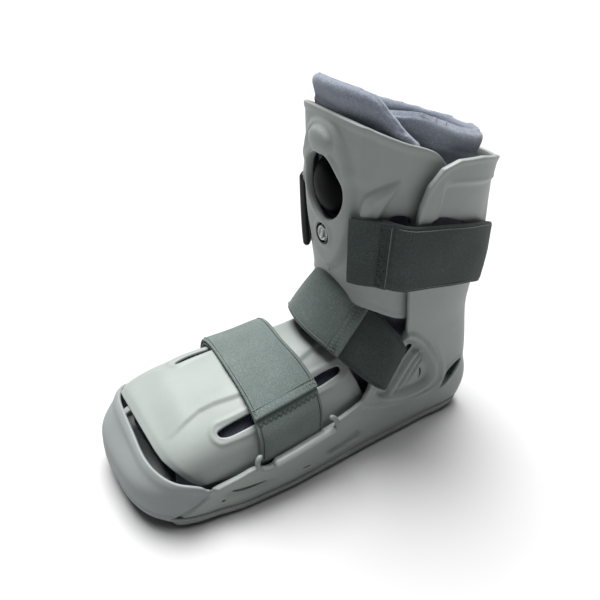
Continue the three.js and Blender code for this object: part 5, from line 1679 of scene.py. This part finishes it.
def build_flap():
    nq, nh = 110, 60
    q = np.linspace(-1.86, 1.26, nq)
    h = np.linspace(0, 1, nh)
    Q, H = np.meshgrid(q, h, indexing="ij")
    # distance to the free edges, for a rounded rim
    dq = np.minimum(Q - q[0], q[-1] - Q) * 46.0
    dh = (1 - H) * 120.0
    e = np.sqrt(np.maximum(0, 1 - (1 - np.minimum(np.minimum(dq, dh) / 6.0, 1)) ** 2))
    bulge = 4.6 * np.maximum(smooth(18, 8, dh), smooth(16, 7, dq) * smooth(44, 30, dh)) + 1.4
    out = flap_at(Q, H, 2.6 + bulge[..., ] * e)
    inn = flap_at(Q, H, 2.4 - 2.1 * e)
    V = np.concatenate([out.reshape(-1, 3), inn.reshape(-1, 3)])
    F = grid_faces(nq, nh) + [tuple(nq * nh + i for i in f[::-1]) for f in grid_faces(nq, nh)]
    n0 = nq * nh
    for i in range(nq - 1):
        F.append((i * nh, (i + 1) * nh, n0 + (i + 1) * nh, n0 + i * nh))
    o = make("liner_flap_pad", V, F, [M_LINER])
    tidy(o, 1e-6)
    bm = bmesh.new()
    bm.from_mesh(o.data)
    bmesh.ops.holes_fill(bm, edges=[x for x in bm.edges if x.is_boundary], sides=0)
    bmesh.ops.recalc_face_normals(bm, faces=bm.faces)
    bm.to_mesh(o.data)
    bm.free()
    swell(o, 2.4, 3.0, 1.4, smooth_it=6)
    c, n = coords(o)
    hollow = np.hypot(c[:, 0], c[:, 2] - BULB_Z)
    depth = 282.0 - 0.33 * (c[:, 1] - 20) - c[:, 2]
    outside = n[:, 1] < 0.2
    push = -1.5 * hump(depth - 17.5 - 1.0 * np.sin(c[:, 0] / 15.0), 3.0) * outside
    push += 0.8 * hump(depth - 25.0, 7.0) * outside
    push += 0.3 * np.sin(c[:, 0] / 12.0 + c[:, 2] / 15.0) * smooth(4, 14, depth)
    c = c + n * push[:, None]
    # room for the bulb and the selector
    back = float(shin_front(BULB_Z)) + 13.5
    c[:, 1] = np.where((hollow < 27) & (c[:, 0] ** 2 < 800), np.maximum(c[:, 1], back * smooth(27, 23, hollow) + c[:, 1] * (1 - smooth(27, 23, hollow))), c[:, 1])
    put(o, c)
    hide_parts("liner_flap")


# ------------------------------------------------------------------ stage, light and camera
def build_stage():
    sc = bpy.context.scene
    sc.view_settings.view_transform = "Standard"
    cam = bpy.data.cameras.new("camera")
    cam.sensor_width = 36.0
    cam.lens = 34.56
    o = bpy.data.objects.new("camera", cam)
    sc.collection.objects.link(o)
    R = ((0.4829701309805288, 0.875110041671766, 0.030368858159154372), (-0.4822904533774157, 0.23690704646840952, 0.8433688219958226), (0.7308459284703293, -0.42196856079434975, 0.5364762460160631))
    m = Matrix(((R[0][0], R[1][0], R[2][0], 0.31056166), (R[0][1], R[1][1], R[2][1], -0.18082939 + SHIFT_Y * MM), (R[0][2], R[1][2], R[2][2], 0.35439210), (0, 0, 0, 1)))
    o.matrix_world = m
    sc.camera = o

    me = bpy.data.meshes.new("studio_floor")
    n = 40
    r = 6.0
    vs = [(0, 0, -0.0008)] + [(r * math.cos(2 * math.pi * k / n), r * math.sin(2 * math.pi * k / n), -0.0008) for k in range(n)]
    me.from_pydata(vs, [], [(0, k + 1, (k + 1) % n + 1) for k in range(n)])
    f = bpy.data.objects.new("studio_floor", me)
    sc.collection.objects.link(f)
    mat = Mat("paper_floor", rough=0.85, spec=0.2)
    mat.colour(mat.ramp(mat.noise(3.0, 2), [(0.3, (0.465, 0.465, 0.465, 1)), (0.7, (0.48, 0.48, 0.48, 1))]))
    me.materials.append(mat.m)

    w = bpy.data.worlds.new("studio")
    w.use_nodes = True
    bg = w.node_tree.nodes["Background"]
    bg.inputs["Color"].default_value = (0.96, 0.98, 1.0, 1)
    bg.inputs["Strength"].default_value = 0.08
    sc.world = w

    def sun(name, az, el, strength, angle, colour=(1, 1, 1)):
        l = bpy.data.lights.new(name, "SUN")
        l.energy = strength
        l.angle = math.radians(angle)
        l.color = colour
        ob = bpy.data.objects.new(name, l)
        a, e = math.radians(az), math.radians(el)
        d = Vector((math.cos(a) * math.cos(e), math.sin(a) * math.cos(e), math.sin(e)))
        ob.location = d * 2.0
        ob.rotation_euler = d.to_track_quat("Z", "Y").to_euler()
        sc.collection.objects.link(ob)

    # one broad soft overhead source, leaning from the far side, and a weaker wide one straight above
    sun("key", 168, 70, 6.0, 42)
    sun("dome", 110, 86, 1.7, 40)


build_stage()
build_shell()
build_bumper()
build_sole()
build_panel()
build_shin()
build_bulb()
build_dial()
build_straps()
build_loops()
build_liner()
